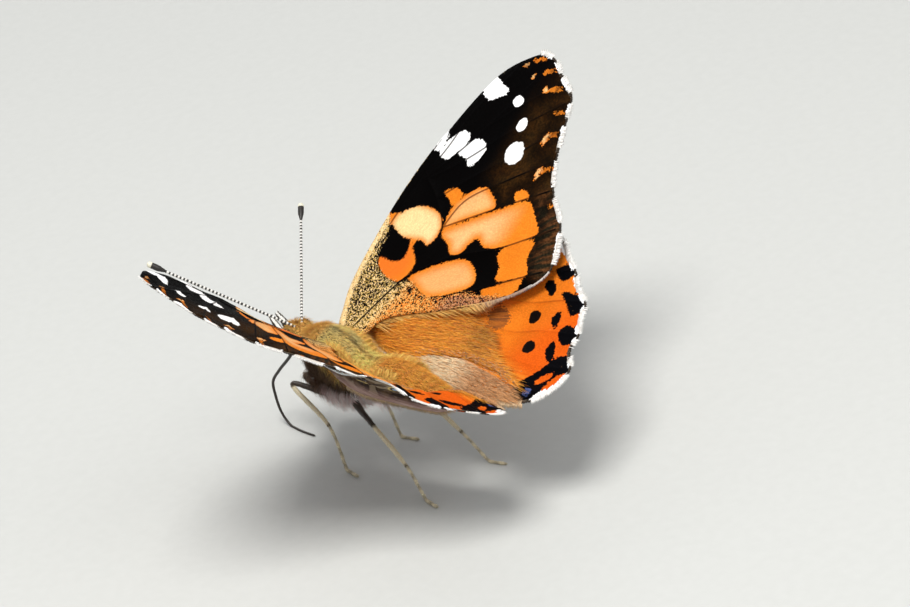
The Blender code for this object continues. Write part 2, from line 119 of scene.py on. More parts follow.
# Wing outlines and veins as (forward, outward) from the wing's root
FOREWING_MARGIN = [
    (1.2, -1.5), (2.2, 0.6), (2.85, 3.0), (3.1, 6.9), (3.1, 12.9), (2.3, 19.1), (0.8, 25.4), (-1.0, 28.3),
    (-2.8, 29.9), (-4.5, 29.75), (-6.1, 28.8), (-8.2, 27.5), (-9.1, 25.6), (-10.4, 22.0), (-12.1, 19.0),
    (-14.8, 16.5), (-16.3, 12.9), (-15.4, 10.2), (-12.6, 7.3), (-7.5, 4.1), (-3.2, 1.4), (-1.6, -1.5),
]
FOREWING_VEINS = {
    "subcosta": [(1.2, -0.6), (2.4, 4.0), (2.7, 9.0), (2.5, 14.0), (2.0, 18.5)],
    "radius": [(0.6, -0.6), (1.6, 4.0), (2.1, 9.0), (1.6, 14.0), (0.9, 18.0), (0.4, 22.0), (-1.4, 27.4)],
    "radius_branch": [(1.6, 14.0), (-0.4, 18.0), (-1.8, 21.4), (-3.3, 25.6), (-4.5, 29.2)],
    "radius_end": [(-1.8, 21.4), (-4.0, 24.6), (-6.6, 28.0)],
    "media_first": [(1.0, 14.6), (-1.6, 17.8), (-4.4, 22.0), (-8.0, 26.4)],
    "media_second": [(-1.0, 13.4), (-3.4, 16.8), (-6.4, 20.6), (-9.2, 24.4)],
    "media_third": [(-3.2, 11.3), (-4.0, 14.6), (-7.0, 18.0), (-10.4, 21.4)],
    "cubitus": [(-0.2, -0.6), (-2.1, 4.9), (-3.1, 6.7), (-3.3, 9.0), (-3.2, 11.3), (-1.0, 13.4), (1.0, 14.6)],
    "cubitus_first": [(-3.2, 11.3), (-7.4, 15.1), (-11.8, 18.8)],
    "cubitus_second": [(-3.1, 6.7), (-6.0, 9.5), (-10.2, 12.2), (-14.4, 15.9)],
    "anal": [(-0.9, -0.6), (-4.4, 3.4), (-10.0, 7.6), (-15.6, 12.0)],
}
HINDWING_MARGIN = [
    (-0.2, -1.1), (-0.3, 1.6), (-2.6, 6.4), (-6.4, 11.4), (-10.9, 14.9), (-14.6, 15.6), (-16.4, 14.5),
    (-18.6, 13.6), (-20.0, 12.3), (-21.6, 11.4), (-22.2, 10.0), (-23.3, 8.5), (-23.7, 7.0), (-25.2, 5.4),
    (-25.0, 3.3), (-23.5, 1.1), (-21.2, -0.1), (-18.6, -0.9), (-14.5, -2.2), (-9.5, -2.3), (-6.3, -2.4),
    (-4.6, -2.2), (-3.2, -1.9), (-1.8, -1.3),
]
HINDWING_VEINS = {
    "subcosta": [(-1.9, -0.4), (-2.6, 3.0), (-6.0, 8.4), (-10.3, 12.6), (-13.8, 14.9)],
    "radius": [(-2.6, 3.0), (-7.0, 6.6), (-12.2, 11.0), (-17.8, 13.4)],
    "media_first": [(-7.0, 6.6), (-9.5, 7.0), (-13.6, 8.6), (-20.8, 11.2)],
    "media_third": [(-8.4, 4.6), (-14.0, 5.8), (-22.5, 8.3)],
    "cubitus": [(-2.1, -0.4), (-5.0, 2.0), (-8.4, 4.6), (-9.5, 7.0)],
    "cubitus_first": [(-6.7, 3.3), (-12.6, 3.8), (-19.6, 4.0), (-24.1, 5.1)],
    "cubitus_second": [(-5.0, 2.0), (-11.8, 2.0), (-18.2, 1.9), (-23.4, 2.2)],
}

# Marks of the upper sides, drawn as smooth closed outlines in the same plane
FOREWING_ORANGE = {
    "cell_cream": [(1.8, 9.5), (1.4, 11.1), (-0.1, 12.3), (-2.2, 12.3), (-3.1, 11.3), (-3.1, 9.8),
                   (-2.6, 9.2), (-1.8, 9.4), (-0.9, 9.1), (0.4, 8.9)],
    "costa_joint": [(3.1, 8.9), (3.1, 10.1), (2.3, 10.4), (1.4, 10.9), (1.5, 10.0), (2.0, 9.3)],
    "cell_red": [(1.3, 6.3), (0.1, 6.4), (-0.9, 6.9), (-1.1, 7.8), (-0.7, 9.0), (-1.1, 9.4), (-1.5, 8.3),
                 (-2.5, 7.4), (-2.5, 6.0), (-1.9, 5.0), (-0.4, 4.9), (0.9, 5.5)],
    "space_three": [(-3.4, 11.2), (-3.0, 13.5), (-4.1, 15.7), (-5.2, 16.4), (-6.6, 15.8), (-7.1, 14.9),
                    (-4.9, 12.8)],
    "space_two": [(-3.5, 11.1), (-7.5, 15.0), (-10.1, 17.0), (-11.6, 16.0), (-12.9, 14.6), (-10.0, 12.1),
                  (-8.1, 11.5), (-7.2, 12.0), (-6.7, 11.2), (-6.4, 9.9), (-5.4, 9.5), (-4.6, 10.2)],
    "space_four": [(-1.3, 14.3), (-2.4, 15.1), (-3.2, 14.8), (-2.9, 13.5), (-2.1, 13.9)],
    "space_far": [(-8.2, 17.1), (-9.0, 17.8), (-10.0, 17.3), (-9.0, 16.5)],
    "space_one_outer": [(-10.2, 11.9), (-12.9, 14.2), (-13.2, 12.5), (-14.2, 11.0), (-12.9, 10.0),
                        (-11.5, 9.3), (-11.0, 10.5)],
    "space_one_inner": [(-2.8, 5.9), (-4.8, 8.1), (-7.1, 9.7), (-8.6, 9.4), (-9.5, 8.2), (-8.6, 7.0),
                        (-5.8, 5.2), (-3.7, 5.5)],
    "below_anal": [(-10.7, 7.9), (-12.3, 9.3), (-14.0, 10.6), (-13.9, 9.2), (-12.6, 8.0), (-11.5, 7.4)],
}
FOREWING_WHITE = {
    "subapical_patch": [(0.9, 24.2), (0.3, 25.8), (-0.7, 25.5), (-1.8, 25.2), (-1.2, 24.3), (-0.3, 23.6)],
    "bar_front": [(2.4, 17.3), (2.4, 18.4), (1.8, 19.5), (1.5, 18.3), (1.6, 17.4)],
    "bar_middle": [(1.3, 17.1), (1.3, 18.4), (0.3, 20.1), (-0.7, 19.7), (-0.3, 18.0), (0.3, 17.0)],
    "bar_rear": [(-0.4, 18.0), (-1.3, 19.8), (-2.5, 20.0), (-2.9, 19.0), (-2.3, 17.3), (-1.5, 17.9)],
}
FOREWING_DOTS = [(-3.3, 24.7, 0.55, 0.55), (-5.0, 22.95, 0.5, 0.72), (-5.85, 20.35, 0.95, 1.15)]
FOREWING_SMALL = [(-1.9, 28.0, 0.2, 0.3), (-3.3, 27.4, 0.24, 0.36), (-5.3, 26.8, 0.3, 0.42),
                  (-8.1, 22.7, 0.26, 0.6), (-9.4, 19.7, 0.26, 0.64)]
# Each dash is a short line, as its two ends
FOREWING_DASHES = [((-2.4, 28.7), (-3.5, 29.4)), ((-4.3, 28.1), (-5.2, 28.9)), ((-5.9, 26.9), (-7.0, 27.7)),
                   ((-7.5, 25.2), (-8.6, 25.8)), ((-8.3, 23.2), (-9.3, 23.7)), ((-9.9, 20.2), (-10.8, 20.8)),
                   ((-12.4, 17.5), (-13.0, 18.0))]
FOREWING_BLOTS = [(-3.5, 4.9, 0.3), (-4.3, 4.6, 0.22), (-5.3, 4.9, 0.26), (-6.6, 5.3, 0.24),
                  (-7.6, 6.0, 0.28), (-8.8, 6.7, 0.24), (-9.7, 7.2, 0.3), (-2.4, 4.6, 0.3)]
FOREWING_DUST = [
    (0.9, -1.5), (1.9, 1.0), (3.4, 6.9), (3.5, 10.2), (2.0, 9.0), (1.7, 6.8), (1.0, 5.5), (-0.4, 4.9),
    (-2.2, 5.0), (-3.2, 5.7), (-4.9, 5.1), (-6.9, 5.6), (-9.0, 7.0), (-11.0, 7.6), (-13.2, 8.4),
    (-13.4, 7.0), (-7.5, 3.8), (-3.2, 1.0), (-1.6, -1.5),
]
FOREWING_FRINGE = [
    ((-2.8, 29.9), (-3.8, 29.9)), ((-5.0, 29.5), (-5.6, 29.15)), ((-6.5, 28.5), (-7.7, 27.8)),
    ((-8.8, 26.5), (-9.0, 25.7)), ((-9.5, 24.4), (-10.0, 22.9)), ((-10.8, 21.3), (-11.8, 19.5)),
    ((-12.8, 18.4), (-14.3, 17.0)), ((-15.2, 15.6), (-16.2, 13.3)),
]
HINDWING_DIAMONDS = {
    "first": [(-15.8, 12.8), (-16.8, 13.7), (-18.7, 13.6), (-17.6, 12.2)],
    "second": [(-18.3, 11.2), (-19.7, 11.6), (-21.6, 11.4), (-20.9, 9.7), (-19.6, 10.5)],
    "third": [(-21.0, 7.8), (-21.3, 8.9), (-23.4, 8.5), (-22.4, 7.0)],
    "lens_first": [(-15.5, 11.1), (-16.0, 11.9), (-17.2, 11.4), (-17.3, 10.5)],
    "lens_second": [(-19.1, 8.7), (-19.5, 9.7), (-20.1, 8.8), (-20.3, 7.9)],
    "lens_third": [(-21.0, 5.9), (-21.1, 7.0), (-22.1, 6.1), (-22.5, 4.9)],
    "tail_band": [(-21.0, 1.3), (-21.1, 2.6), (-22.1, 4.1), (-22.8, 5.9), (-24.3, 6.5), (-25.2, 5.4),
                  (-24.1, 4.2), (-23.7, 2.8), (-23.8, 1.5), (-22.7, 0.7)],
}
HINDWING_DOTS = [(-16.6, 8.2, 0.82, 0.68), (-18.9, 5.5, 0.78, 0.66)]
HINDWING_COVERED_DOT = (-13.2, 10.6, 0.5)
HINDWING_FADED = (-13.0, 6.6, 1.1)
HINDWING_BLUE = (-22.5, 1.9, 0.42)
HINDWING_TAIL_ORANGE = [(-22.6, 2.7), (-23.2, 3.2), (-23.9, 4.5), (-23.2, 4.2), (-22.5, 3.3)]
HINDWING_FRINGE = [
    ((-14.4, 15.5), (-18.0, 14.0)), ((-19.2, 13.0), (-21.1, 11.8)), ((-21.9, 10.8), (-22.9, 9.0)),
    ((-23.5, 7.9), (-24.8, 6.1)), ((-25.4, 4.7), (-25.0, 3.2), (-23.8, 1.4)),
]
HINDWING_FOLD_LINE = [(-6.7, 0.1), (-9.7, 1.3), (-12.8, 2.0), (-16.9, 2.1), (-22.0, 1.1)]
EYESPOTS = [(-16.2, 11.4, 0.55), (-17.9, 8.6, 0.9), (-19.8, 5.9, 0.75), (-21.3, 3.6, 0.95), (-21.8, 1.6, 0.5)]


# Small tools

def place(points):
    """Row-frame metres of points of the butterfly's own frame, given as rows or as one point."""
    points = np.atleast_2d(np.asarray(points, dtype=float))
    forward, left, up = points.T
    ahead = forward * math.cos(PITCH) - up * math.sin(PITCH)
    height = forward * math.sin(PITCH) + up * math.cos(PITCH) + ROOT_HEIGHT
    return np.stack((left, SHIFT_BACK - ahead, height), axis=1) * MM


def place_direction(direction):
    moved = place([direction, (0.0, 0.0, 0.0)])
    return Vector(moved[0] - moved[1]).normalized()


def up_at_height(forward, height):
    return (height - ROOT_HEIGHT - forward * math.sin(PITCH)) / math.cos(PITCH)


def ease(value):
    value = np.clip(value, 0.0, 1.0)
    return value * value * (3.0 - 2.0 * value)


def smooth_path(points, step, closed=False):
    """Points about a step apart on a smooth curve through the given points."""
    points = np.asarray(points, dtype=float)
    count = len(points)
    path = []
    for i in range(count if closed else count - 1):
        if closed:
            before, start, end, after = (points[(i + k) % count] for k in (-1, 0, 1, 2))
        else:
            start, end = points[i], points[i + 1]
            before = points[i - 1] if i else start * 2.0 - end
            after = points[i + 2] if i + 2 < count else end * 2.0 - start
        cuts = max(1, round(float(np.linalg.norm(end - start)) / step))
        t = (np.arange(cuts) / cuts)[:, None]
        path.append(0.5 * (2.0 * start + (end - before) * t
                           + (2.0 * before - 5.0 * start + 4.0 * end - after) * t ** 2
                           + (3.0 * start - before - 3.0 * end + after) * t ** 3))
    if not closed:
        path.append(points[-1:])
    return np.concatenate(path)


def path_distance(points, path):
    """Distance of each point from a line of straight pieces."""
    nearest = np.full(len(points), np.inf)
    for start, end in zip(path[:-1], path[1:]):
        span = end - start
        t = np.clip((points - start) @ span / max(float(span @ span), 1e-12), 0.0, 1.0)
        nearest = np.minimum(nearest, np.linalg.norm(points - start - t[:, None] * span, axis=1))
    return nearest


def inside(points, loop):
    found = np.zeros(len(points), dtype=bool)
    for start, end in zip(loop, np.roll(loop, -1, axis=0)):
        crosses = (start[1] > points[:, 1]) != (end[1] > points[:, 1])
        rise = end[1] - start[1]
        at = start[0] + (points[:, 1] - start[1]) / (rise if rise else 1.0) * (end[0] - start[0])
        found ^= crosses & (points[:, 0] < at)
    return found


def depth(points, outline, step=0.3):
    """How deep each point lies in a smooth closed outline; less than nothing outside it."""
    loop = smooth_path(outline, step, closed=True)
    away = path_distance(points, np.concatenate((loop, loop[:1])))
    return np.where(inside(points, loop), away, -away)


def deepest(points, outlines):
    return np.max([depth(points, outline) for outline in outlines], axis=0)


def oval_depth(points, forward, outward, wide, tall=None):
    tall = tall or wide
    away = np.hypot((points[:, 0] - forward) / wide, (points[:, 1] - outward) / tall)
    return (1.0 - away) * min(wide, tall)


def solid_mesh(name, vertices, faces):
    mesh = bpy.data.meshes.new(name)
    mesh.from_pydata([tuple(v) for v in vertices], [], [tuple(int(i) for i in f) for f in faces])
    mesh.validate()
    mesh.shade_smooth()
    return mesh


def add_piece(name, mesh, material):
    """The mesh as an object, with its faces turned outward."""
    build = bmesh.new()
    build.from_mesh(mesh)
    bmesh.ops.recalc_face_normals(build, faces=build.faces)
    build.to_mesh(mesh)
    build.free()
    mesh.materials.append(material)
    piece = bpy.data.objects.new(name, mesh)
    bpy.context.scene.collection.objects.link(piece)
    return piece


def vertex_rows(mesh, what="co"):
    rows = np.empty(len(mesh.vertices) * 3)
    mesh.vertices.foreach_get(what, rows)
    return rows.reshape(-1, 3)


def add_values(piece, name, values):
    layer = piece.data.attributes.new(name, "FLOAT", "POINT")
    layer.data.foreach_set("value", np.asarray(values, dtype=np.float32))


def add_vectors(piece, name, values):
    layer = piece.data.attributes.new(name, "FLOAT_VECTOR", "POINT")
    layer.data.foreach_set("vector", np.asarray(values, dtype=np.float32).ravel())


def add_colours(piece, name, values):
    values = np.asarray(values, dtype=np.float32)
    layer = piece.data.attributes.new(name, "FLOAT_COLOR", "POINT")
    layer.data.foreach_set("color", np.column_stack((values, np.ones(len(values)))).ravel())


def settle(piece, slot, *nodes):
    """Every piece rides on the one body and may stand for solids; the slot is not used."""
    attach(piece, "root")
    if nodes:
        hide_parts(*nodes)


# Material tools

class Nodes:
    """Short names for making and joining the nodes of one tree."""

    def __init__(self, tree):
        self.tree = tree

    def put(self, socket, value):
        if isinstance(value, bpy.types.NodeSocket):
            self.tree.links.new(value, socket)
        else:
            socket.default_value = value

    def add(self, kind, **settings):
        node = self.tree.nodes.new(kind)
        for name, value in settings.items():
            setattr(node, name, value)
        return node

    def value(self, name):
        return self.add("ShaderNodeAttribute", attribute_name=name).outputs["Fac"]

    def vector(self, name):
        return self.add("ShaderNodeAttribute", attribute_name=name).outputs["Vector"]

    def colour(self, name):
        return self.add("ShaderNodeAttribute", attribute_name=name).outputs["Color"]

    def place(self):
        return self.add("ShaderNodeTexCoord").outputs["Object"]

    def math(self, operation, first, second, clamp=False):
        node = self.add("ShaderNodeMath", operation=operation, use_clamp=clamp)
        self.put(node.inputs[0], first)
        self.put(node.inputs[1], second)
        return node.outputs[0]

    def times(self, first, second):
        return self.math("MULTIPLY", first, second)

    def vector_math(self, operation, first, second):
        node = self.add("ShaderNodeVectorMath", operation=operation)
        self.put(node.inputs[0], first)
        self.put(node.inputs[1], second)
        return node.outputs[0]

    def stretch(self, vector, factors):
        return self.vector_math("MULTIPLY", vector, factors)

    def ramp(self, value, low, high, from_value=0.0, to_value=1.0):
        node = self.add("ShaderNodeMapRange", interpolation_type="SMOOTHSTEP")
        for socket, number in zip(node.inputs, (value, low, high, from_value, to_value)):
            self.put(socket, number)
        return node.outputs["Result"]

    def mix(self, share, first, second):
        node = self.add("ShaderNodeMix", data_type="RGBA")
        self.put(node.inputs[0], share)
        for socket, value in ((node.inputs[6], first), (node.inputs[7], second)):
            self.put(socket, (*value, 1.0) if isinstance(value, tuple) else value)
        return node.outputs[2]

    def split(self, colour):
        node = self.add("ShaderNodeSeparateColor")
        self.put(node.inputs[0], colour)
        return node.outputs

    def noise(self, vector, scale, detail=2.0):
        node = self.add("ShaderNodeTexNoise")
        self.put(node.inputs["Vector"], vector)
        self.put(node.inputs["Scale"], scale)
        self.put(node.inputs["Detail"], detail)
        return node.outputs["Fac"]

    def cells(self, vector, scale):
        node = self.add("ShaderNodeTexVoronoi")
        self.put(node.inputs["Vector"], vector)
        self.put(node.inputs["Scale"], scale)
        return node.outputs

    def bump(self, height, strength, distance):
        node = self.add("ShaderNodeBump")
        self.put(node.inputs["Height"], height)
        self.put(node.inputs["Strength"], strength)
        self.put(node.inputs["Distance"], distance)
        return node.outputs["Normal"]

    def group(self, tree, **values):
        node = self.add("ShaderNodeGroup")
        node.node_tree = tree
        for name, value in values.items():
            self.put(node.inputs[name], value)
        return node.outputs

    def mask(self, name, ragged):
        """Where a mark shows, from the depth that the piece carries under the mark's name."""
        return self.group(SCALE_EDGE, Depth=self.value(name), Lie=self.vector("lie"), Ragged=ragged)["Mask"]

    def oval(self, forward, outward, wide, tall):
        """How deep a place lies in an oval mark."""
        return self.group(OVAL_MARK, Flat=self.vector("flat"), Centre=(forward, outward, 0.0),
                          Size=(wide, tall, 1.0))["Depth"]


def new_group(name, inputs, outputs):
    tree = bpy.data.node_groups.new(name, "ShaderNodeTree")
    for in_out, sockets in (("INPUT", inputs), ("OUTPUT", outputs)):
        for label, kind in sockets:
            tree.interface.new_socket(name=label, in_out=in_out, socket_type=kind)
    nodes = Nodes(tree)
    return nodes, nodes.add("NodeGroupInput").outputs, nodes.add("NodeGroupOutput").inputs


def new_material(name, roughness, **settings):
    """A material, its node tools and its shader's inputs, with the settings' words joined by _."""
    material = bpy.data.materials.new(name)
    material.use_nodes = True
    inputs = material.node_tree.nodes["Principled BSDF"].inputs
    inputs["Roughness"].default_value = roughness
    for words, value in settings.items():
        inputs[words.replace("_", " ")].default_value = value
    return material, Nodes(material.node_tree), inputs


FLOAT, VECTOR = "NodeSocketFloat", "NodeSocketVector"
# Scales in a millimetre along and across a wing's lie
SCALE_ROWS = (6.0, 11.0, 1.0)


def scale_edge_group():
    """Turns depth in a mark into a mask whose edge is ragged, as rows of scales make it."""
    nodes, given, put = new_group("scale_edge", [("Depth", FLOAT), ("Lie", VECTOR), ("Ragged", FLOAT)],
                                  [("Mask", FLOAT)])
    each = nodes.split(nodes.cells(nodes.stretch(given["Lie"], SCALE_ROWS), 1.0)["Color"])
    tooth = nodes.times(nodes.math("SUBTRACT", each[1], 0.5), 0.12)
    long_noise = nodes.noise(nodes.stretch(given["Lie"], (1.2, 6.0, 1.0)), 1.0)
    fine_noise = nodes.noise(given["Lie"], 7.0, 1.0)
    wander = nodes.math("ADD", long_noise, nodes.times(fine_noise, 0.7))
    wander = nodes.times(nodes.math("SUBTRACT", wander, 0.85), given["Ragged"])
    shifted = nodes.math("ADD", nodes.math("ADD", given["Depth"], wander), tooth)
    nodes.put(put["Mask"], nodes.ramp(shifted, -0.03, 0.03))
    return nodes.tree


def scale_grain_group():
    """One random value and one raised edge for each small scale, in rows across the wing's lie."""
    nodes, given, put = new_group("scale_grain", [("Lie", VECTOR)], [("Value", FLOAT), ("Height", FLOAT)])
    cells = nodes.cells(nodes.stretch(given["Lie"], SCALE_ROWS), 1.0)
    nodes.put(put["Value"], nodes.split(cells["Color"])[0])
    nodes.put(put["Height"], nodes.math("SUBTRACT", 1.0, cells["Distance"]))
    return nodes.tree


def oval_mark_group():
    """How deep a place of the wing's plane lies in an oval; less than nothing outside it."""
    nodes, given, put = new_group("oval_mark", [("Flat", VECTOR), ("Centre", VECTOR), ("Size", VECTOR)],
                                  [("Depth", FLOAT)])
    away = nodes.vector_math("SUBTRACT", given["Flat"], given["Centre"])
    length = nodes.add("ShaderNodeVectorMath", operation="LENGTH")
    nodes.put(length.inputs[0], nodes.vector_math("DIVIDE", away, given["Size"]))
    nodes.put(put["Depth"], nodes.math("SUBTRACT", 1.0, length.outputs["Value"]))
    return nodes.tree


SCALE_EDGE = scale_edge_group()
OVAL_MARK = oval_mark_group()
SCALE_GRAIN = scale_grain_group()


def upper_ground(nodes, each, vein_line, ray):
    """Black ground, browner towards the outer margin and rusty near the rear corner."""
    brown = nodes.math("MULTIPLY", nodes.value("brown"), nodes.ramp(each, 0.0, 1.0, 0.42, 1.0), clamp=True)
    patches = nodes.noise(nodes.vector("lie"), 0.9, 3.0)
    umber = nodes.mix(patches, (0.066, 0.022, 0.004), (0.024, 0.016, 0.005))
    rust = nodes.mix(nodes.ramp(ray, 0.35, 0.6), (0.15, 0.058, 0.020), (0.030, 0.024, 0.012))
    ground = nodes.mix(brown, (0.0015, 0.0012, 0.0012), nodes.mix(nodes.value("rusty"), umber, rust))
    return nodes.mix(nodes.times(vein_line, nodes.value("brown")), ground, (0.002, 0.0015, 0.0015))


def upper_orange(nodes, each, line, ray):
    """Orange marks, paler towards their middles, and each scale a little its own."""
    patches = nodes.noise(nodes.vector("lie"), 0.45, 3.0)
    orange = nodes.mix(patches, (0.82, 0.185, 0.010), (0.88, 0.29, 0.026))
    orange = nodes.mix(nodes.value("red"), orange, (0.86, 0.19, 0.022))
    orange = nodes.mix(nodes.value("cream"), orange, (0.93, 0.76, 0.37))
    orange = nodes.mix(nodes.times(each, 0.2), orange, (0.66, 0.13, 0.008))
    dim = nodes.times(nodes.value("dim"), nodes.ramp(ray, 0.3, 0.6, 1.0, 0.35))
    orange = nodes.mix(dim, orange, (0.085, 0.030, 0.008))
    orange = nodes.mix(line, orange, (0.10, 0.025, 0.006))
    return nodes.mix(nodes.value("deep"), orange, (0.72, 0.108, 0.007))


def hindwing_disc(nodes, colour, each):
    """The hindwing's hairy disc and pale fold with a painted shade line along the fold, its faded spot, black
    marks and blue tail spot.
    """
    streak = nodes.noise(nodes.stretch(nodes.vector("lie"), (0.30, 5.0, 1.0)), 1.0, 4.0)
    tan = nodes.mix(nodes.ramp(streak, 0.38, 0.62), (0.62, 0.16, 0.015), (0.92, 0.31, 0.03))
    colour = nodes.mix(nodes.value("tan"), colour, tan)
    pale = nodes.mix(nodes.ramp(streak, 0.4, 0.6), (0.74, 0.50, 0.28), (0.94, 0.76, 0.54))
    colour = nodes.mix(nodes.value("beige"), colour, pale)
    # A dark line along the fold: painted shade in the crease.
    colour = nodes.mix(nodes.value("crease_shade"), colour, (0.05, 0.022, 0.012))
    faded = nodes.times(nodes.mask("faded", 1.3), nodes.ramp(streak, 0.35, 0.65, 0.9, 0.55))
    colour = nodes.mix(faded, colour, (0.095, 0.045, 0.022))
    colour = nodes.mix(nodes.mask("black", 0.25), colour, (0.002, 0.002, 0.003))
    return nodes.mix(nodes.mask("blue", 0.6), colour, nodes.mix(each, (0.10, 0.13, 0.32), (0.02, 0.03, 0.08)))


def speckled_base(nodes, colour, vein_line):
    """Gold, olive and orange scales with black ones strewn among them, and a gilt front edge."""
    fleck = nodes.split(nodes.cells(nodes.vector("flat"), 11.0)["Color"])
    first, second = fleck[0], fleck[1]
    gold = nodes.mix(nodes.ramp(second, 0.3, 0.7), (0.54, 0.35, 0.09), (0.96, 0.69, 0.33))
    ginger = nodes.mix(nodes.ramp(second, 0.2, 0.8), (0.76, 0.20, 0.02), (0.94, 0.48, 0.13))
    gold = nodes.mix(nodes.value("warm"), gold, ginger)
    gold = nodes.mix(nodes.math("LESS_THAN", first, nodes.value("fleck")), gold, (0.010, 0.008, 0.007))
    mauve = nodes.mix(nodes.math("LESS_THAN", first, 0.6), (0.52, 0.26, 0.16), (0.06, 0.025, 0.02))
    gold = nodes.mix(nodes.times(nodes.value("mauve"), 0.7), gold, mauve)
    gold = nodes.mix(nodes.times(vein_line, nodes.value("vein_base")), gold, (0.006, 0.005, 0.005))
    colour = nodes.mix(nodes.mask("dust", 1.2), colour, gold)
    gilt = nodes.mix(second, (1.0, 0.80, 0.46), (0.74, 0.45, 0.15))
    gilt = nodes.mix(nodes.math("LESS_THAN", first, 0.05), gilt, (0.06, 0.035, 0.02))
    return nodes.mix(nodes.mask("gilt", 0.5), colour, gilt)


def upper_scales():
    """Upper side: black ground, orange and white marks, a base speckled gold and black."""
    material, nodes, put = new_material("upper_scales", 0.62, Specular_IOR_Level=0.012)
    lie = nodes.vector("lie")
    grain = nodes.group(SCALE_GRAIN, Lie=lie)
    each = grain["Value"]
    ray = nodes.noise(nodes.stretch(lie, (0.5, 3.5, 1.0)), 1.0, 3.0)
    vein_line = nodes.ramp(nodes.value("vein"), 0.05, 0.12, 1.0, 0.0)
    line = nodes.times(vein_line, nodes.value("vein_dark"))
    colour = nodes.mix(nodes.mask("orange", 0.4), upper_ground(nodes, each, vein_line, ray),
                       upper_orange(nodes, each, line, ray))
    colour = hindwing_disc(nodes, colour, each)
    colour = speckled_base(nodes, colour, vein_line)
    # Each scale darker towards its edge: painted shade between the scales.
    colour = nodes.mix(nodes.ramp(grain["Height"], 0.35, 0.9, 0.22, 0.0), colour, (0.0, 0.0, 0.0))
    white = nodes.mix(each, (0.97, 0.965, 0.95), (0.88, 0.88, 0.88))
    white = nodes.mix(nodes.math("MULTIPLY", line, 1.1, clamp=True), white, (0.04, 0.035, 0.03))
    colour = nodes.mix(nodes.mask("white", 0.3), colour, white)
    rough_edge = nodes.times(nodes.math("SUBTRACT", nodes.noise(lie, 3.0), 0.5), 0.35)
    dot_white = nodes.mix(each, (0.97, 0.965, 0.95), (0.90, 0.90, 0.89))
    for ovals, tone in ((HINDWING_DOTS, (0.004, 0.003, 0.003)), (FOREWING_DOTS, dot_white)):
        deep = nodes.oval(*ovals[0])
        for oval in ovals[1:]:
            deep = nodes.math("MAXIMUM", deep, nodes.oval(*oval))
        colour = nodes.mix(nodes.ramp(nodes.math("ADD", deep, rough_edge), -0.06, 0.06), colour, tone)
    nodes.put(put["Base Color"], colour)
    nodes.put(put["Roughness"], nodes.ramp(each, 0.0, 1.0, 0.5, 0.75))
    nodes.put(put["Normal"], nodes.bump(grain["Height"], 0.3, 0.00004))
    return material


def under_scales():
    """Underside: pink-orange forewing with a brown marbled tip, marbled hindwing with eyespots, its browns,
    pale patches, veins, white marks and buff darkened as painted shade.
    """
    material, nodes, put = new_material("under_scales", 0.68, Specular_IOR_Level=0.05)
    lie = nodes.vector("lie")
    flat = nodes.vector("flat")
    grain = nodes.group(SCALE_GRAIN, Lie=lie)
    marble = nodes.noise(flat, 0.75, 3.0)
    # Marbled brown, pale patches and veins of the real pattern, all darkened as painted shade.
    brown = nodes.mix(nodes.ramp(marble, 0.42, 0.58), (0.022, 0.012, 0.008), (0.10, 0.058, 0.030))
    patches = nodes.cells(flat, 0.55)["Distance"]
    brown = nodes.mix(nodes.ramp(patches, 0.60, 0.68), brown, (0.24, 0.18, 0.12))
    brown = nodes.mix(nodes.ramp(nodes.value("vein"), 0.06, 0.16, 1.0, 0.0), brown, (0.20, 0.14, 0.09))
    pink = nodes.mix(marble, (0.85, 0.36, 0.16), (0.90, 0.48, 0.26))
    fore = nodes.mix(nodes.mask("orange", 0.4), (0.05, 0.035, 0.03), pink)
    colour = nodes.mix(nodes.value("marbled"), fore, brown)
    # White marks greyed: painted shade.
    shaded_white = (0.55, 0.51, 0.44)
    colour = nodes.mix(nodes.mask("white", 0.35), colour, shaded_white)
    for oval in FOREWING_DOTS:
        colour = nodes.mix(nodes.ramp(nodes.oval(*oval), -0.1, 0.1), colour, shaded_white)
    streak = nodes.noise(nodes.stretch(lie, (0.30, 5.0, 1.0)), 1.0, 3.0)
    # Pinkish buff along the hindwing's inner margin, darkened as painted shade.
    buff = nodes.mix(nodes.ramp(streak, 0.35, 0.65), (0.34, 0.19, 0.16), (0.60, 0.42, 0.38))
    colour = nodes.mix(nodes.value("buff"), colour, buff)
    # Each eyespot is a yellow ring round a dark one, with a blue middle
    yellow, dark, blue = (0.62, 0.45, 0.16), (0.03, 0.03, 0.03), (0.22, 0.32, 0.48)
    for low, high, tone in ((-0.02, 0.02, yellow), (0.16, 0.2, dark), (0.36, 0.42, blue)):
        colour = nodes.mix(nodes.ramp(nodes.value("eyespot"), low, high), colour, tone)
    colour = nodes.mix(nodes.ramp(grain["Value"], 0.0, 1.0, 0.0, 0.18), colour, (0.05, 0.03, 0.02))
    nodes.put(put["Base Color"], colour)
    nodes.put(put["Roughness"], nodes.ramp(grain["Value"], 0.0, 1.0, 0.55, 0.8))
    nodes.put(put["Normal"], nodes.bump(grain["Height"], 0.35, 0.00005))
    return material


def coat_material(name, roughness, dark):
    """Hair or hairy skin: the colour carried by the piece, a little darker or lighter hair by hair."""
    material, nodes, put = new_material(name, roughness, Specular_IOR_Level=0.2, Sheen_Weight=0.25,
                                        Sheen_Tint=(1.0, 0.78, 0.5, 1.0))
    strand = nodes.noise(nodes.place(), 9000.0)
    colour = nodes.mix(nodes.ramp(strand, 0.3, 0.7, 0.0, dark), nodes.colour("tint"), (0.02, 0.012, 0.006))
    nodes.put(put["Base Color"], colour)
    nodes.put(put["Roughness"], nodes.ramp(strand, 0.3, 0.7, roughness - 0.1, roughness + 0.1))
    nodes.put(put["Normal"], nodes.bump(strand, 0.3, 0.00008))
    return material


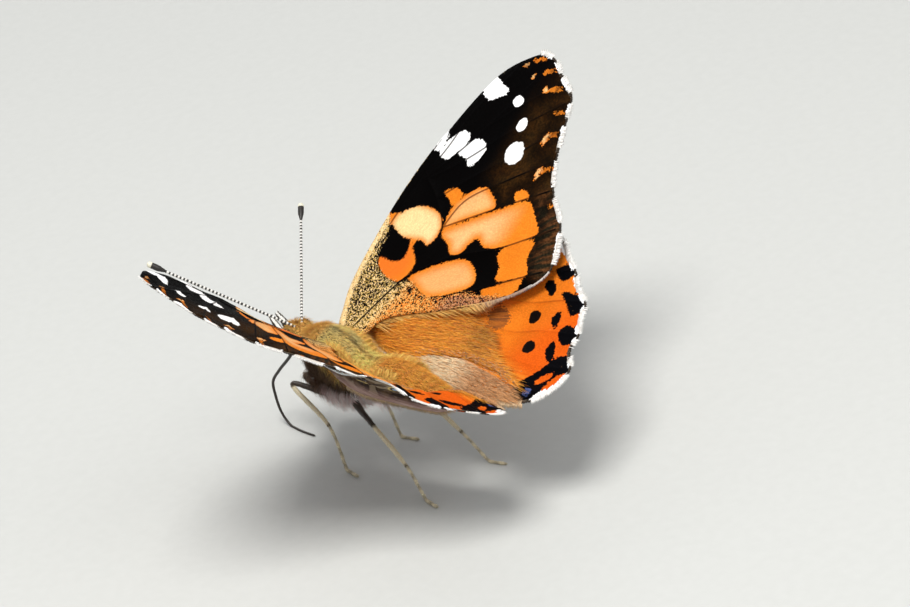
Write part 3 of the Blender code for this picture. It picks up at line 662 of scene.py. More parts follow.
def horn_material(name, roughness):
    """Horny surface of feelers, tongue and legs: the carried colour with fine scaly grain."""
    material, nodes, put = new_material(name, roughness)
    grain = nodes.cells(nodes.place(), 12000.0)["Distance"]
    colour = nodes.mix(nodes.ramp(grain, 0.1, 0.7, 0.0, 0.3), nodes.colour("tint"), (0.03, 0.02, 0.012))
    nodes.put(put["Base Color"], colour)
    nodes.put(put["Roughness"], nodes.ramp(grain, 0.0, 0.8, roughness, roughness + 0.2))
    nodes.put(put["Normal"], nodes.bump(grain, 0.3, 0.00004))
    return material


def eye_material():
    """Compound eye: small facets, mottled brown, with a soft gloss."""
    material, nodes, put = new_material("compound_eye", 0.3, Coat_Weight=0.12, Coat_Roughness=0.25)
    facets = nodes.cells(nodes.place(), 16000.0)["Distance"]
    mottle = nodes.ramp(nodes.noise(nodes.place(), 1800.0, 3.0), 0.4, 0.6)
    nodes.put(put["Base Color"], nodes.mix(mottle, (0.020, 0.012, 0.008), (0.085, 0.05, 0.028)))
    nodes.put(put["Roughness"], nodes.ramp(facets, 0.0, 0.8, 0.22, 0.45))
    nodes.put(put["Normal"], nodes.bump(facets, 0.4, 0.00002))
    return material


# Wings

def forewing_lift(flat):
    return 0.35 * ease((-flat[:, 0] - 6.0) / 8.0)


def front_edge(flat):
    return ease((flat[:, 0] + 0.4) / 3.4) * (1.0 - ease((flat[:, 1] - 2.0) / 11.0))


def outer_twist(flat):
    return (-flat[:, 0] - 2.0) / 10.0 * ease((flat[:, 1] - 14.5) / 8.0)


def behind_forewing(flat):
    """How far a place of the hindwing lies behind the forewing's rear edge."""
    return -0.66 * (flat[:, 0] + 3.2) - 0.752 * (flat[:, 1] - 1.4)


def hindwing_lift(flat):
    rear = 1.5 * ease((-flat[:, 0] - 15.0) / 4.5)
    return -1.1 + rear + 3.0 * ease((behind_forewing(flat) - 2.5) / 13.0)


def closeness(flat, word):
    """How much nearer to the forewing a thin hindwing lies than the thick solid one."""
    forward, outward = flat.T
    near_body = ease((outward + 1.0) / 3.5)
    if word == "left":
        return (0.85 + 0.7 * forewing_lift(flat)) * (1.0 - ease((-forward - 16.0) / 8.0)) * near_body
    under_forewing = 1.0 - ease((behind_forewing(flat) + 0.5) / 4.0)
    return 0.7 * under_forewing * (1.0 - ease((outward - 8.0) / 5.0)) * near_body


def wing_point(kind, word, flat, off_sheet):
    """Points at a height over or under the sheet of one wing, in the butterfly's own frame."""
    side = 1.0 if word == "left" else -1.0
    turn = HINDWING_TURN[word] if kind == "hindwing" else 0.0
    fold = HINDWING_FOLD if kind == "hindwing" else FLAT_TO_ROOT
    turned = np.stack((flat[:, 0] * math.cos(turn) + flat[:, 1] * math.sin(turn),
                       flat[:, 1] * math.cos(turn) - flat[:, 0] * math.sin(turn)), axis=1)
    if kind == "hindwing":
        lift = hindwing_lift(turned) + closeness(turned, word)
    else:
        lift = forewing_lift(turned) - FOREWING_DROOP[word] * front_edge(turned)
        lift = lift - FOREWING_TWIST[word] * outer_twist(turned)
    run, rise = math.cos(WING_RISE), math.sin(WING_RISE)
    past = np.maximum(0.0, fold - turned[:, 1])
    level = np.exp(-past)
    outward = np.where(past > 0.0, fold - rise * past - (1.0 - rise) * (1.0 - level), turned[:, 1])
    lift = lift - run * (past - 1.0 + level)
    normal = np.stack((-run * (1.0 - level), rise + (1.0 - rise) * level))
    normal /= np.linalg.norm(normal, axis=0)
    outward = outward + off_sheet * normal[0]
    lift = lift + off_sheet * normal[1]
    left = side * (ROOT_HALF_GAP + outward * run - lift * rise)
    return np.stack((turned[:, 0], left, outward * rise + lift * run), axis=1)


def shrink(loop, inset):
    """The closed line moved inward by the inset."""
    along = np.roll(loop, -1, axis=0) - np.roll(loop, 1, axis=0)
    along /= np.linalg.norm(along, axis=1)[:, None]
    inward = np.stack((along[:, 1], -along[:, 0]), axis=1)
    if not inside(loop[:1] + inward[:1] * inset, loop)[0]:
        inward = -inward
    return loop + inward * inset


def wing_triangles(margin, vein_paths):
    """Triangles of the wing's plane that keep its margin, and each vein's crest and shoulders."""
    points = list(margin)
    edges = [(i, (i + 1) % len(margin)) for i in range(len(margin))]
    closed = np.concatenate((margin, margin[:1]))
    for path in vein_paths:
        along = np.gradient(path, axis=0)
        along /= np.linalg.norm(along, axis=1)[:, None]
        across = np.stack((-along[:, 1], along[:, 0]), axis=1)
        for offset in (-VEIN_HALF_WIDTH, -0.07, 0.0, 0.07, VEIN_HALF_WIDTH):
            line = path + across * offset
            kept = inside(line, margin) & (path_distance(line, closed) > 0.12)
            for i, point in enumerate(line):
                if not kept[i]:
                    continue
                points.append(point)
                if i and kept[i - 1]:
                    edges.append((len(points) - 2, len(points) - 1))
    low, high = margin.min(axis=0), margin.max(axis=0)
    grid = []
    for k, row in enumerate(np.arange(low[1], high[1], GRID_STEP * 0.87)):
        places = np.arange(low[0] + (k % 2) * GRID_STEP / 2, high[0], GRID_STEP)
        grid.append(np.stack((places, np.full(len(places), row)), axis=1))
    grid = np.concatenate(grid)
    grid = grid[inside(grid, margin)]
    grid = grid[path_distance(grid, closed) > 0.2]
    points.extend(grid[vein_distance(grid, vein_paths) > VEIN_HALF_WIDTH + 0.12])
    flat, _, faces, *_ = geometry.delaunay_2d_cdt([Vector(p) for p in points], edges, [], 1, 0.002)
    return np.array([tuple(p) for p in flat]), faces


def vein_distance(flat, vein_paths):
    return np.min([path_distance(flat, path) for path in vein_paths], axis=0)


def plain_marks(flat):
    """Every mark that a wing can have, as one that doesn't show."""
    marks = {name: np.zeros(len(flat)) for name in (
        "cream", "fleck", "warm", "brown", "mauve", "tan", "beige", "vein_dark", "vein_base", "marbled",
        "deep", "red", "rusty", "dim", "crease_shade", "buff")}
    for name in ("orange", "white", "dust", "gilt", "black", "faded", "blue", "eyespot"):
        marks[name] = np.full(len(flat), FAR_OUTSIDE)
    return marks


def cream_share(flat, small):
    """How cream the forewing's orange is: most in the cell's patch, less in the other marks' middles."""
    forward, outward = flat.T
    cell = depth(flat, FOREWING_ORANGE["cell_cream"])
    cream = ease((cell + 0.1 + 0.3 * ease((forward + 0.6) / 1.5)) / 0.75) * 0.97
    cream = np.maximum(cream, 0.85 * ease((forward - 1.9) / 0.8) * ease((9.9 - outward) / 0.8))
    middle = ease(depth(flat, FOREWING_ORANGE["space_two"]) / 1.0) * ease((forward + 10.8) / 3.4)
    cream = np.maximum(cream, 0.62 * middle)
    for name, most in (("space_three", 0.5), ("space_one_inner", 0.42)):
        cream = np.maximum(cream, most * ease(depth(flat, FOREWING_ORANGE[name]) / 0.9))
    return np.maximum(cream, 0.7 * ease(small / 0.1))


def fleck_share(flat):
    """Share of black scales in the forewing's speckled base."""
    forward, outward = flat.T
    fleck = 0.30 + 0.27 * ease((forward + 0.45 * outward + 0.6) / 1.6) * ease((9.5 - outward) / 2.0)
    fleck = np.maximum(fleck, 0.36 * ease((-forward - 1.0) / 2.0) * ease((outward - 2.5) / 2.5))
    blots = np.max([oval_depth(flat, *blot) for blot in FOREWING_BLOTS], axis=0)
    return np.maximum(fleck, 0.85 * ease((blots + 0.1) / 0.2))


def forewing_marks(flat):
    forward, outward = flat.T
    fringe = [0.42 - path_distance(flat, np.array(mark)) for mark in FOREWING_FRINGE]
    white = np.max([deepest(flat, FOREWING_WHITE.values()), *fringe], axis=0)
    small = [oval_depth(flat, *dot) for dot in FOREWING_SMALL]
    dashes = np.max([0.2 - path_distance(flat, np.array(dash)) for dash in FOREWING_DASHES], axis=0)
    orange = np.max([deepest(flat, FOREWING_ORANGE.values()), *small, dashes], axis=0)
    dust = depth(flat, FOREWING_DUST)
    costa = smooth_path([(1.3, -0.9), (2.0, 0.8), (2.6, 3.0), (2.9, 6.9), (2.95, 9.7)], 0.5)
    gilt = 0.62 - path_distance(flat, costa) - 0.15 * ease((outward - 8.0) / 2.0)
    edge = smooth_path([(3.0, 10.8), (2.2, 19.1), (0.7, 25.4), (-1.0, 28.1)], 0.5)
    rusty = ease((-forward - 9.5) / 2.5) * ease((-forward * 0.5 - outward + 14.5) / 3.5)
    rusty = rusty * ease((outward - 10.2) / 1.5)
    brown = np.maximum(ease((-forward - 3.5) / 4.0) * ease((outward - 13.0) / 5.0), 0.9 * rusty)
    vein_base = ease((0.84 + forward + 0.5625 * outward) / 0.4)
    marks = plain_marks(flat)
    marks.update({
        "orange": orange,
        "white": white,
        "dust": dust,
        "gilt": np.maximum(gilt, 0.07 - path_distance(flat, edge)),
        "cream": cream_share(flat, np.max(small, axis=0)),
        "red": 1.0 - ease((np.hypot(forward + 0.2, outward - 6.6) - 1.2) / 1.6),
        "dim": 0.8 * ease((np.maximum(dashes, np.max(small[:2], axis=0)) + 0.25) / 0.2),
        "fleck": fleck_share(flat),
        "warm": ease((-forward - 0.28 * outward - 0.9) / 1.6),
        "mauve": ease((-forward - 6.2) / 2.0) * ease(dust / 0.4),
        "rusty": rusty,
        "brown": brown * (0.3 + 0.7 * ease((-orange - 0.35) / 0.9)),
        "vein_dark": 0.8 * (1.0 - ease((outward - 20.0) / 0.5)),
        "vein_base": vein_base * (1.0 - 0.8 * ease((forward - 0.1) / 0.6)),
        "marbled": ease((outward - 22.5) / 2.5),
    })
    return marks


def inside_fold(flat):
    """How far a point lies on the body's side of the hindwing's fold line."""
    line = np.array(HINDWING_FOLD_LINE)
    return np.interp(-flat[:, 0], -line[:, 0], line[:, 1]) - flat[:, 1]


def hindwing_marks(flat):
    forward, outward = flat.T
    margin_line = smooth_path(HINDWING_MARGIN, 0.5, closed=True)
    rim = path_distance(flat, np.concatenate((margin_line, margin_line[:1])))
    fringe = [0.58 - path_distance(flat, np.array(mark)) for mark in HINDWING_FRINGE]
    black = np.maximum(deepest(flat, HINDWING_DIAMONDS.values()), oval_depth(flat, *HINDWING_COVERED_DOT))
    black = np.maximum(black, 0.30 - rim - 0.6 * ease((2.0 - outward) / 1.5))
    costal = ease((outward + 0.62 * forward - 5.4) / 1.5)
    fold = path_distance(flat, smooth_path(HINDWING_FOLD_LINE, 0.5))
    within = inside_fold(flat)
    tan = ease((13.5 + forward + 0.30 * outward) / 6.5)
    tan = np.max([tan, 1.0 - ease((fold - 0.5) / 2.0), ease((1.3 - outward) / 1.0)], axis=0)
    beige = ease(within / 0.2) * ease((-forward - 5.6) / 1.2)
    # A narrow dark line along the fold line: painted shade in the crease.
    crease_shade = np.exp(-(within / 0.1) ** 2) * ease((-forward - 6.2) / 0.8)
    marks = plain_marks(flat)
    marks.update({
        "orange": -marks["orange"],
        "white": np.max(fringe, axis=0),
        "black": np.minimum(black, -depth(flat, HINDWING_TAIL_ORANGE)),
        "dust": 0.8 * (costal - 0.5),
        "cream": 0.16 * (1.0 - ease((np.hypot(forward + 11.5, outward - 8.2) - 0.8) / 1.8)),
        "deep": 0.2 + 0.8 * ease((-forward - 0.5 * outward - 11.0) / 7.0),
        "tan": 0.9 * tan * (1.0 - costal) * ease((rim - 0.1) / 0.5),
        "beige": beige * (1.0 - 0.9 * ease((-forward - 10.2) / 4.8)),
        "crease_shade": 0.85 * crease_shade * (1.0 - ease((-forward - 15.0) / 4.0)),
        "buff": 0.85 * ease((-0.5 - outward) / 1.3),
        "fleck": np.full(len(flat), 0.5),
        "warm": np.full(len(flat), 0.3),
        "mauve": np.full(len(flat), 0.6),
        "faded": oval_depth(flat, *HINDWING_FADED),
        "blue": oval_depth(flat, *HINDWING_BLUE),
        "vein_dark": 0.2 + 0.4 * ease((-forward - 14.0) / 5.0),
        "marbled": np.ones(len(flat)),
        "eyespot": np.max([oval_depth(flat, *spot) for spot in EYESPOTS], axis=0),
    })
    return marks


WING_PLANS = {
    "forewing": (FOREWING_MARGIN, FOREWING_VEINS, forewing_marks, FOREWING_FRINGE),
    "hindwing": (HINDWING_MARGIN, HINDWING_VEINS, hindwing_marks, HINDWING_FRINGE),
}


def outer_edges(faces):
    """Edges that belong to one face only, each in its face's own direction."""
    found = {}
    for face in faces:
        for i, start in enumerate(face):
            end = face[(i + 1) % len(face)]
            if (end, start) in found:
                del found[end, start]
            else:
                found[start, end] = True
    return list(found)


def build_wings(upper, under):
    """Thin closed sheets, the upper and under sides each with its own scales."""
    for kind, (margin, veins, marks_at, _) in WING_PLANS.items():
        edge = shrink(smooth_path(margin, PATH_STEP, closed=True), FRINGE_INSET)
        vein_paths = [smooth_path(path, PATH_STEP) for path in veins.values()]
        flat, faces = wing_triangles(edge, vein_paths)
        count = len(flat)
        near = vein_distance(flat, vein_paths)
        sag = MEMBRANE_SAG * ease(near / SAG_REACH)
        crest = VEIN_RELIEF * (1.0 - ease(near / VEIN_HALF_WIDTH))
        values = {"vein": near, **marks_at(flat)}
        turn = np.arctan2(-flat[:, 0], flat[:, 1])
        lie = np.stack((np.hypot(flat[:, 0], flat[:, 1]), turn * 14.0, np.zeros(count)), axis=1)
        all_faces = [tuple(face) for face in faces]
        all_faces += [tuple(i + count for i in reversed(face)) for face in faces]
        all_faces += [(b, a, a + count, b + count) for a, b in outer_edges(faces)]
        slots = np.zeros(len(all_faces), dtype=np.int32)
        slots[len(faces):2 * len(faces)] = 1
        for word in ("left", "right"):
            name = f"{kind}_{word}_scales"
            top = wing_point(kind, word, flat, SHEET_HALF + crest - sag)
            bottom = wing_point(kind, word, flat, -SHEET_HALF - crest - sag)
            piece = add_piece(name, solid_mesh(name, place(np.concatenate((top, bottom))), all_faces), upper)
            piece.data.materials.append(under)
            piece.data.polygons.foreach_set("material_index", slots)
            for label, row in values.items():
                add_values(piece, label, np.tile(row, 2))
            add_vectors(piece, "lie", np.tile(lie, (2, 1)))
            add_vectors(piece, "flat", np.tile(np.column_stack((flat, np.zeros(count))), (2, 1)))
            settle(piece, "wing_scales", f"{kind}_{word}")


# Hair and fringe scales

def wing_bake(forward, outward):
    return np.stack((0.5 + forward / BAKE_FORWARD_SPAN, outward / BAKE_OUTWARD_SPAN), axis=1)


def spikes(name, roots, tips, bends, widths, sheets, tints, bake_places, material, slot):
    """Closed tapering hairs: three sides, a bend in the middle and a point.

    roots, bends and tips are rows in the butterfly's frame; sheets is the direction in which each
    hair is flat; bake_places are the roots' places on the skin's own unwrap.
    """
    along = tips - roots
    along /= np.linalg.norm(along, axis=1)[:, None]
    across = np.cross(along, sheets)
    across /= np.linalg.norm(across, axis=1)[:, None] + 1e-9
    out = np.cross(across, along)
    widths = np.asarray(widths)[:, None]
    rows = [roots + across * widths * 0.5, roots - across * widths * 0.5, roots + out * widths * 0.25,
            bends + across * widths * 0.42, bends - across * widths * 0.42, bends + out * widths * 0.22, tips]
    count = len(roots)
    vertices = place(np.stack(rows, axis=1).reshape(-1, 3))
    pattern = np.array([(0, 1, 2), (0, 3, 4), (0, 4, 1), (1, 4, 5), (1, 5, 2), (2, 5, 3), (2, 3, 0),
                        (3, 6, 4), (4, 6, 5), (5, 6, 3)])
    faces = (pattern[None] + (np.arange(count) * 7)[:, None, None]).reshape(-1, 3)
    mesh = bpy.data.meshes.new(name)
    mesh.vertices.add(len(vertices))
    mesh.vertices.foreach_set("co", vertices.ravel())
    mesh.loops.add(faces.size)
    mesh.loops.foreach_set("vertex_index", faces.ravel())
    mesh.polygons.add(len(faces))
    mesh.polygons.foreach_set("loop_start", np.arange(len(faces)) * 3)
    mesh.polygons.foreach_set("loop_total", np.full(len(faces), 3))
    mesh.update()
    mesh.validate()
    piece = add_piece(name, mesh, material)
    add_colours(piece, "tint", np.repeat(tints, 7, axis=0))
    corner = np.array([(0, 0), (1, 0), (0.5, 0.2), (0, 0.6), (1, 0.6), (0.5, 0.8), (0.5, 1)]) * 0.003
    places = np.repeat(bake_places, 7, axis=0) * 0.99 + np.tile(corner, (count, 1))
    layer = mesh.uv_layers.new(name="OFBake")
    order = np.empty(len(mesh.loops), dtype=np.int32)
    mesh.loops.foreach_get("vertex_index", order)
    layer.data.foreach_set("uv", places[order].astype(np.float32).ravel())
    settle(piece, slot)


def fringe_tints(kind, away, white, trailing, near_root):
    """White between the veins and dark at them, a pale hem behind, and ginger hair near the root."""
    count = len(away)
    tints = np.where(white[:, None], FRINGE_WHITE, FRINGE_BLACK)
    shade = RANDOM.random((count, 1))
    ginger = np.array((0.95, 0.62, 0.17)) * (1.0 - shade) + np.array((0.86, 0.40, 0.07)) * shade
    ginger = np.where(RANDOM.random((count, 1)) < 0.08, (0.34, 0.15, 0.04), ginger)
    if kind == "hindwing":
        hem = np.array((0.72, 0.50, 0.30))
    else:
        hem = np.array((0.80, 0.76, 0.72)) * ease((away[:, None] - 8.5) / 3.0)
        hem = np.maximum(hem, np.array((0.36, 0.24, 0.18)))
        hem = hem * (1.0 - near_root) + ginger * near_root
    return np.where(trailing[:, None], hem, tints) * RANDOM.uniform(0.85, 1.05, (count, 1))


def build_fringes(material):
    """Rows of narrow scales round each wing's margin."""
    for kind, (margin, _, _, marks) in WING_PLANS.items():
        fore = kind == "forewing"
        loop = smooth_path(margin, FRINGE_STEP, closed=True)
        along = np.roll(loop, -1, axis=0) - np.roll(loop, 1, axis=0)
        along /= np.linalg.norm(along, axis=1)[:, None]
        inner = shrink(loop, FRINGE_INSET + 0.14)
        outward = loop - inner
        outward /= np.linalg.norm(outward, axis=1)[:, None]
        forward, away = loop.T
        if fore:
            kept = (forward < -1.5) & (away > 0.3) & ~((away > 28.0) & (forward > -2.5))
        else:
            kept = (forward < -4.0) & ((forward < -13.5) | (away < 3.0))
        loop, inner, outward, along = loop[kept], inner[kept], outward[kept], along[kept]
        forward, away = loop.T
        count = len(loop)
        trailing = away < (12.3 if fore else 0.6)
        near_root = ease((8.2 - away) / 3.2)[:, None] * fore
        bake = wing_bake(forward, 0.68 + away.clip(0))
        for layer in range(FRINGE_LAYERS):
            slant = along * RANDOM.normal(0.0, 0.13, (count, 1))
            reach = RANDOM.uniform(0.44, 0.58, (count, 1)) + 0.05 * layer
            reach = np.where(trailing[:, None], reach * (0.62 if fore else 1.3), reach)
            white = np.max([0.26 - path_distance(loop, np.array(mark)) for mark in marks], axis=0)
            white = white + RANDOM.uniform(-0.06, 0.06, count) > 0.0
            light = (white | trailing)[:, None]
            reach = np.where(light, reach * (1.1 if fore else 1.22), reach * 0.66)
            reach = reach + near_root * RANDOM.uniform(0.7, 2.1, (count, 1))
            swept = np.array((-1.0, 0.22)) + RANDOM.normal(0.0, 0.12, (count, 2))
            slant = slant + (swept - outward) * near_root
            sink = near_root[:, 0] * RANDOM.uniform(0.45, 0.95, count)
            flat_tips = inner + (outward + slant) * reach
            tints = fringe_tints(kind, away, white, trailing, near_root)
            level = (layer - 0.5) * 0.05 - MEMBRANE_SAG * 0.6
            long_edge = 1.0 + 0.5 * (~trailing & (away < 27.0)) * fore
            for word in ("left", "right"):
                roots = wing_point(kind, word, inner, np.full(count, level))
                here = flat_tips if word == "right" else inner + (flat_tips - inner) * long_edge[:, None]
                tips = wing_point(kind, word, here, level - sink + RANDOM.uniform(-0.04, 0.04, count))
                lifted = (wing_point(kind, word, flat_tips, np.full(count, 1.0))
                          - wing_point(kind, word, flat_tips, np.full(count, 0.0)))
                bends = roots * 0.45 + tips * 0.55 + lifted * (0.2 * sink)[:, None]
                normal = wing_point(kind, word, inner, np.full(count, level + 1.0)) - roots
                widths = FRINGE_WIDTH - 0.075 * near_root[:, 0]
                spikes(f"{kind}_{word}_fringe_{layer}", roots, tips, bends, widths, normal,
                       tints, bake, material, "wing_scales")


# Each coat of hair: how many, shortest and longest, how far it stands, where it grows, three tones
WING_HAIR = {
    "hindwing_disc": (4600, (1.5, 2.7), 0.12, [
        (-0.6, 0.6), (-3.0, 3.4), (-7.0, 5.0), (-11.5, 5.2), (-14.5, 3.6), (-18.5, 2.6), (-20.8, 1.7),
        (-16.0, 2.2), (-12.8, 2.1), (-9.7, 1.4), (-6.7, 0.2), (-5.6, -1.4), (-3.2, -1.6), (-0.6, -0.8)],
        ((0.99, 0.43, 0.04), (0.97, 0.34, 0.03), (0.64, 0.20, 0.025))),
    "hindwing_fold": (2600, (0.9, 1.7), 0.05, [
        (-5.4, -0.6), (-6.7, 0.0), (-9.7, 1.15), (-12.8, 1.85), (-16.9, 1.95), (-21.6, 1.1), (-20.6, 0.2),
        (-16.5, -1.0), (-11.5, -1.9), (-6.8, -2.0), (-5.4, -1.6)],
        ((0.97, 0.80, 0.53), (0.98, 0.70, 0.40), (0.92, 0.52, 0.24))),
    "fold_crest": (260, (0.5, 0.9), 0.25, [
        (-6.7, 0.15), (-9.7, 1.35), (-12.8, 2.05), (-16.9, 2.15), (-21.0, 1.3), (-21.0, 1.9),
        (-16.9, 2.75), (-12.8, 2.6), (-9.7, 1.8), (-6.7, 0.5)],
        ((0.80, 0.44, 0.20), (0.50, 0.25, 0.12), (0.20, 0.10, 0.06))),
}


def wing_hair_tints(name, tones, seeds):
    """Three tones by chance; browner on the fold towards the tail, with dark streaks on the disc."""
    count = len(seeds)
    tints = np.array(tones)[RANDOM.choice(3, count, p=(0.52, 0.33, 0.15))]
    tints = tints * RANDOM.uniform(0.85, 1.05, (count, 1))
    brown_hair = np.array((0.66, 0.29, 0.10)) * RANDOM.uniform(0.45, 1.2, (count, 1))
    if name == "hindwing_fold":
        towards_tail = 0.9 * ease((-seeds[:, :1] - 10.2) / 4.8)
        tints = tints * (1.0 - towards_tail) + brown_hair * towards_tail
    if name == "hindwing_disc":
        streaks = np.exp(-(np.hypot(seeds[:, :1] + 11.6, seeds[:, 1:] - 4.0) / 2.0) ** 2)
        tints = tints * (1.0 - 0.4 * streaks)
    return tints


def build_wing_hair(material):
    """Long hair that sweeps from the body over the hindwing's base and along its fold."""
    for name, (count, (short, long), stand, outline, tones) in WING_HAIR.items():
        loop = smooth_path(outline, 0.5, closed=True)
        seeds = RANDOM.uniform(loop.min(axis=0), loop.max(axis=0), (count * 6, 2))
        seeds = seeds[inside(seeds, loop)][:count]
        count = len(seeds)
        sweep = np.stack((np.full(count, -1.0), 0.34 - 0.30 * ease(-seeds[:, 0] / 16.0)), axis=1)
        sweep[:, 1] += 0.35 * seeds[:, 1] / (2.0 - seeds[:, 0]) + RANDOM.normal(0.0, 0.09, count)
        sweep /= np.linalg.norm(sweep, axis=1)[:, None]
        length = RANDOM.uniform(short, long, (count, 1))
        tints = wing_hair_tints(name, tones, seeds)
        bake = wing_bake(seeds[:, 0], seeds[:, 1] + 6.4)
        rise = RANDOM.uniform(0.2, 1.0, count) * stand
        for word in ("left", "right"):
            roots = wing_point("hindwing", word, seeds, np.zeros(count))
            bends = wing_point("hindwing", word, seeds + sweep * length * 0.5, 0.06 + rise)
            tips = wing_point("hindwing", word, seeds + sweep * length, rise - 0.02)
            normal = wing_point("hindwing", word, seeds, np.ones(count)) - roots
            widths = RANDOM.uniform(0.035, 0.06, count)
            spikes(f"{name}_{word}_hair", roots, tips, bends, widths, normal, tints, bake, material,
                   "wing_scales")


# Body

def abdomen_axis(forward):
    return ABDOMEN_FRONT_UP + ABDOMEN_SLOPE * (ABDOMEN_FRONT - forward)


def body_axis(forward):
    """Up coordinate of the body's middle line."""
    thorax = THORAX_CENTRE[2]
    towards_head = thorax + (HEAD_CENTRE[2] - thorax) * ease(forward / 5.0)
    return np.where(forward > ABDOMEN_FRONT, towards_head, abdomen_axis(forward))


def ball(name, shape, rings, sides):
    """A closed round form in millimetres of the butterfly's frame, from a shaped unit ball."""
    build = bmesh.new()
    bmesh.ops.create_uvsphere(build, u_segments=sides, v_segments=rings, radius=1.0)
    for vertex in build.verts:
        vertex.co = shape(vertex.co.z, vertex.co.x, vertex.co.y)
    bmesh.ops.recalc_face_normals(build, faces=build.faces)
    mesh = bpy.data.meshes.new(name)
    build.to_mesh(mesh)
    build.free()
    return mesh


def abdomen_shape(along, left, up):
    share = 0.5 - 0.5 * along
    forward = ABDOMEN_FRONT - ABDOMEN_LENGTH * share
    taper = (1.0 - 0.34 * float(ease((share - 0.35) / 0.65))) * (0.88 + 0.12 * float(ease(share / 0.35)))
    phase = (share * ABDOMEN_SEGMENTS) % 1.0
    rings = 1.0 - 0.07 * max(0.0, 1.0 - phase / 0.25)
    full = math.sqrt(max(0.0, 1.0 - along * along))
    swell = full ** -0.25 if full > 1e-6 else 0.0
    size = taper * rings * swell
    return (forward * 0.985, (ABDOMEN_HALF_WIDTH - ABDOMEN_COAT) * size * left,
            abdomen_axis(forward) + (ABDOMEN_HALF_HEIGHT - ABDOMEN_COAT) * size * up)


def body_skin(material):
    """One closed skin over head, neck, thorax, waist and abdomen, and its triangles for the fur."""
    thorax_half = THORAX_HALF - THORAX_COAT
    head_half = HEAD_HALF - HEAD_COAT

    def thorax_shape(along, left, up):
        narrow = 1.0 - 0.08 * along
        return (THORAX_CENTRE[0] + thorax_half[0] * along, thorax_half[1] * narrow * left,
                THORAX_CENTRE[2] + thorax_half[2] * narrow * up)

    def head_shape(along, left, up):
        return tuple(HEAD_CENTRE + head_half * np.array((along, left, up)))

    def neck_shape(along, left, up):
        return (4.2 + 1.0 * along, 0.75 * left, -3.0 + 0.8 * up)

    def waist_shape(along, left, up):
        return (-3.6 + 1.6 * along, 1.35 * left, -2.4 + 1.55 * up)

    build = bmesh.new()
    for shape, rings in ((thorax_shape, 40), (head_shape, 40), (neck_shape, 40), (waist_shape, 40),
                         (abdomen_shape, 90)):
        form = ball("form", shape, rings, 40)
        build.from_mesh(form)
        bpy.data.meshes.remove(form)
    forms = bpy.data.meshes.new("body_forms")
    build.to_mesh(forms)
    build.free()
    rough = bpy.data.objects.new("body_forms", forms)
    bpy.context.scene.collection.objects.link(rough)
    remesh = rough.modifiers.new("one_skin", "REMESH")
    remesh.mode = "VOXEL"
    remesh.voxel_size = SKIN_VOXEL
    soften = rough.modifiers.new("soften", "SMOOTH")
    soften.factor = 0.5
    soften.iterations = 4
    skin = bpy.data.meshes.new_from_object(rough.evaluated_get(bpy.context.evaluated_depsgraph_get()))
    bpy.data.objects.remove(rough)
    bpy.data.meshes.remove(forms)
    places = vertex_rows(skin)
    skin.calc_loop_triangles()
    corners = np.empty(len(skin.loop_triangles) * 3, dtype=np.int32)
    skin.loop_triangles.foreach_get("vertices", corners)
    tints = body_tint(places, vertex_rows(skin, "normal"))
    skin.vertices.foreach_set("co", place(places).ravel())
    skin.update()
    skin.materials.clear()
    skin.shade_smooth()
    piece = add_piece("body_skin", skin, material)
    add_colours(piece, "tint", tints * 0.5)
    settle(piece, "body_hair", "head", "thorax", "abdomen")
    return places[corners.reshape(-1, 3)]


def body_tint(places, normals):
    """Coat colour by place: tawny head and collar, olive gold back with gold edges that are partly a painted
    highlight, brown flank as painted shade, pale belly with its pink partly painted reflected light.
    """
    forward, left, up = places.T
    over = normals[:, 2]
    wave = 0.5 + 0.5 * np.sin(forward * 2.1 + left * 3.0) * np.cos(left * 1.7 - up * 2.3)
    tawny = np.array((1.0, 0.47, 0.11))
    olive = np.array((0.92, 0.64, 0.20))
    grey_olive = np.array((0.64, 0.55, 0.22))
    gold = np.array((1.0, 0.70, 0.20))
    # Brown of the flanks and sides: painted shade.
    brown = np.array((0.09, 0.045, 0.022))
    # Pale belly: its pink is partly painted reflected light.
    belly = np.array((0.86, 0.60, 0.54))
    face = np.array((0.95, 0.93, 0.88))
    rust = np.array((0.97, 0.40, 0.06))
    back = olive + (grey_olive - olive) * wave[:, None]
    collar = ease((forward - 0.7) / 1.5)[:, None]
    back = back + (tawny - back) * collar
    # Gold along the back's edges: gold hair, partly a painted highlight.
    rim = np.exp(-((np.abs(left) - 1.5) / 0.42) ** 2) * ease((1.8 - forward) / 1.5) * ease((over + 0.1) / 0.4)
    back = back + (gold - back) * (rim * (1.0 - collar[:, 0]))[:, None]
    behind = ease((-forward - 1.9) / 1.3)[:, None]
    back = back + (gold - back) * behind
    midline = 0.7 * np.exp(-(left / 0.14) ** 2) * ease((1.6 - forward) / 0.8)
    back = back * (1.0 - midline[:, None])
    rear = ease((-forward - 4.4) / 2.2)[:, None]
    segment = ((ABDOMEN_FRONT - forward) / ABDOMEN_LENGTH * ABDOMEN_SEGMENTS) % 1.0
    banded = rust * (0.75 + 0.25 * ease((segment - 0.05) / 0.35))[:, None]
    back = back + (banded - back) * rear
    # Sides turn brown: painted shade.
    side = ease((0.36 - over) / 0.4)[:, None]
    tint = back + (brown - back) * side
    under = ease((-0.35 - over) / 0.4)[:, None]
    tint = tint + (belly - tint) * under
    tint = tint + (tawny - tint) * ease((forward - 3.4) / 0.8)[:, None]
    before = ease((forward - 5.5) / 0.4) * ease((-2.9 - up) / 0.5)
    return tint + (face - tint) * before[:, None]


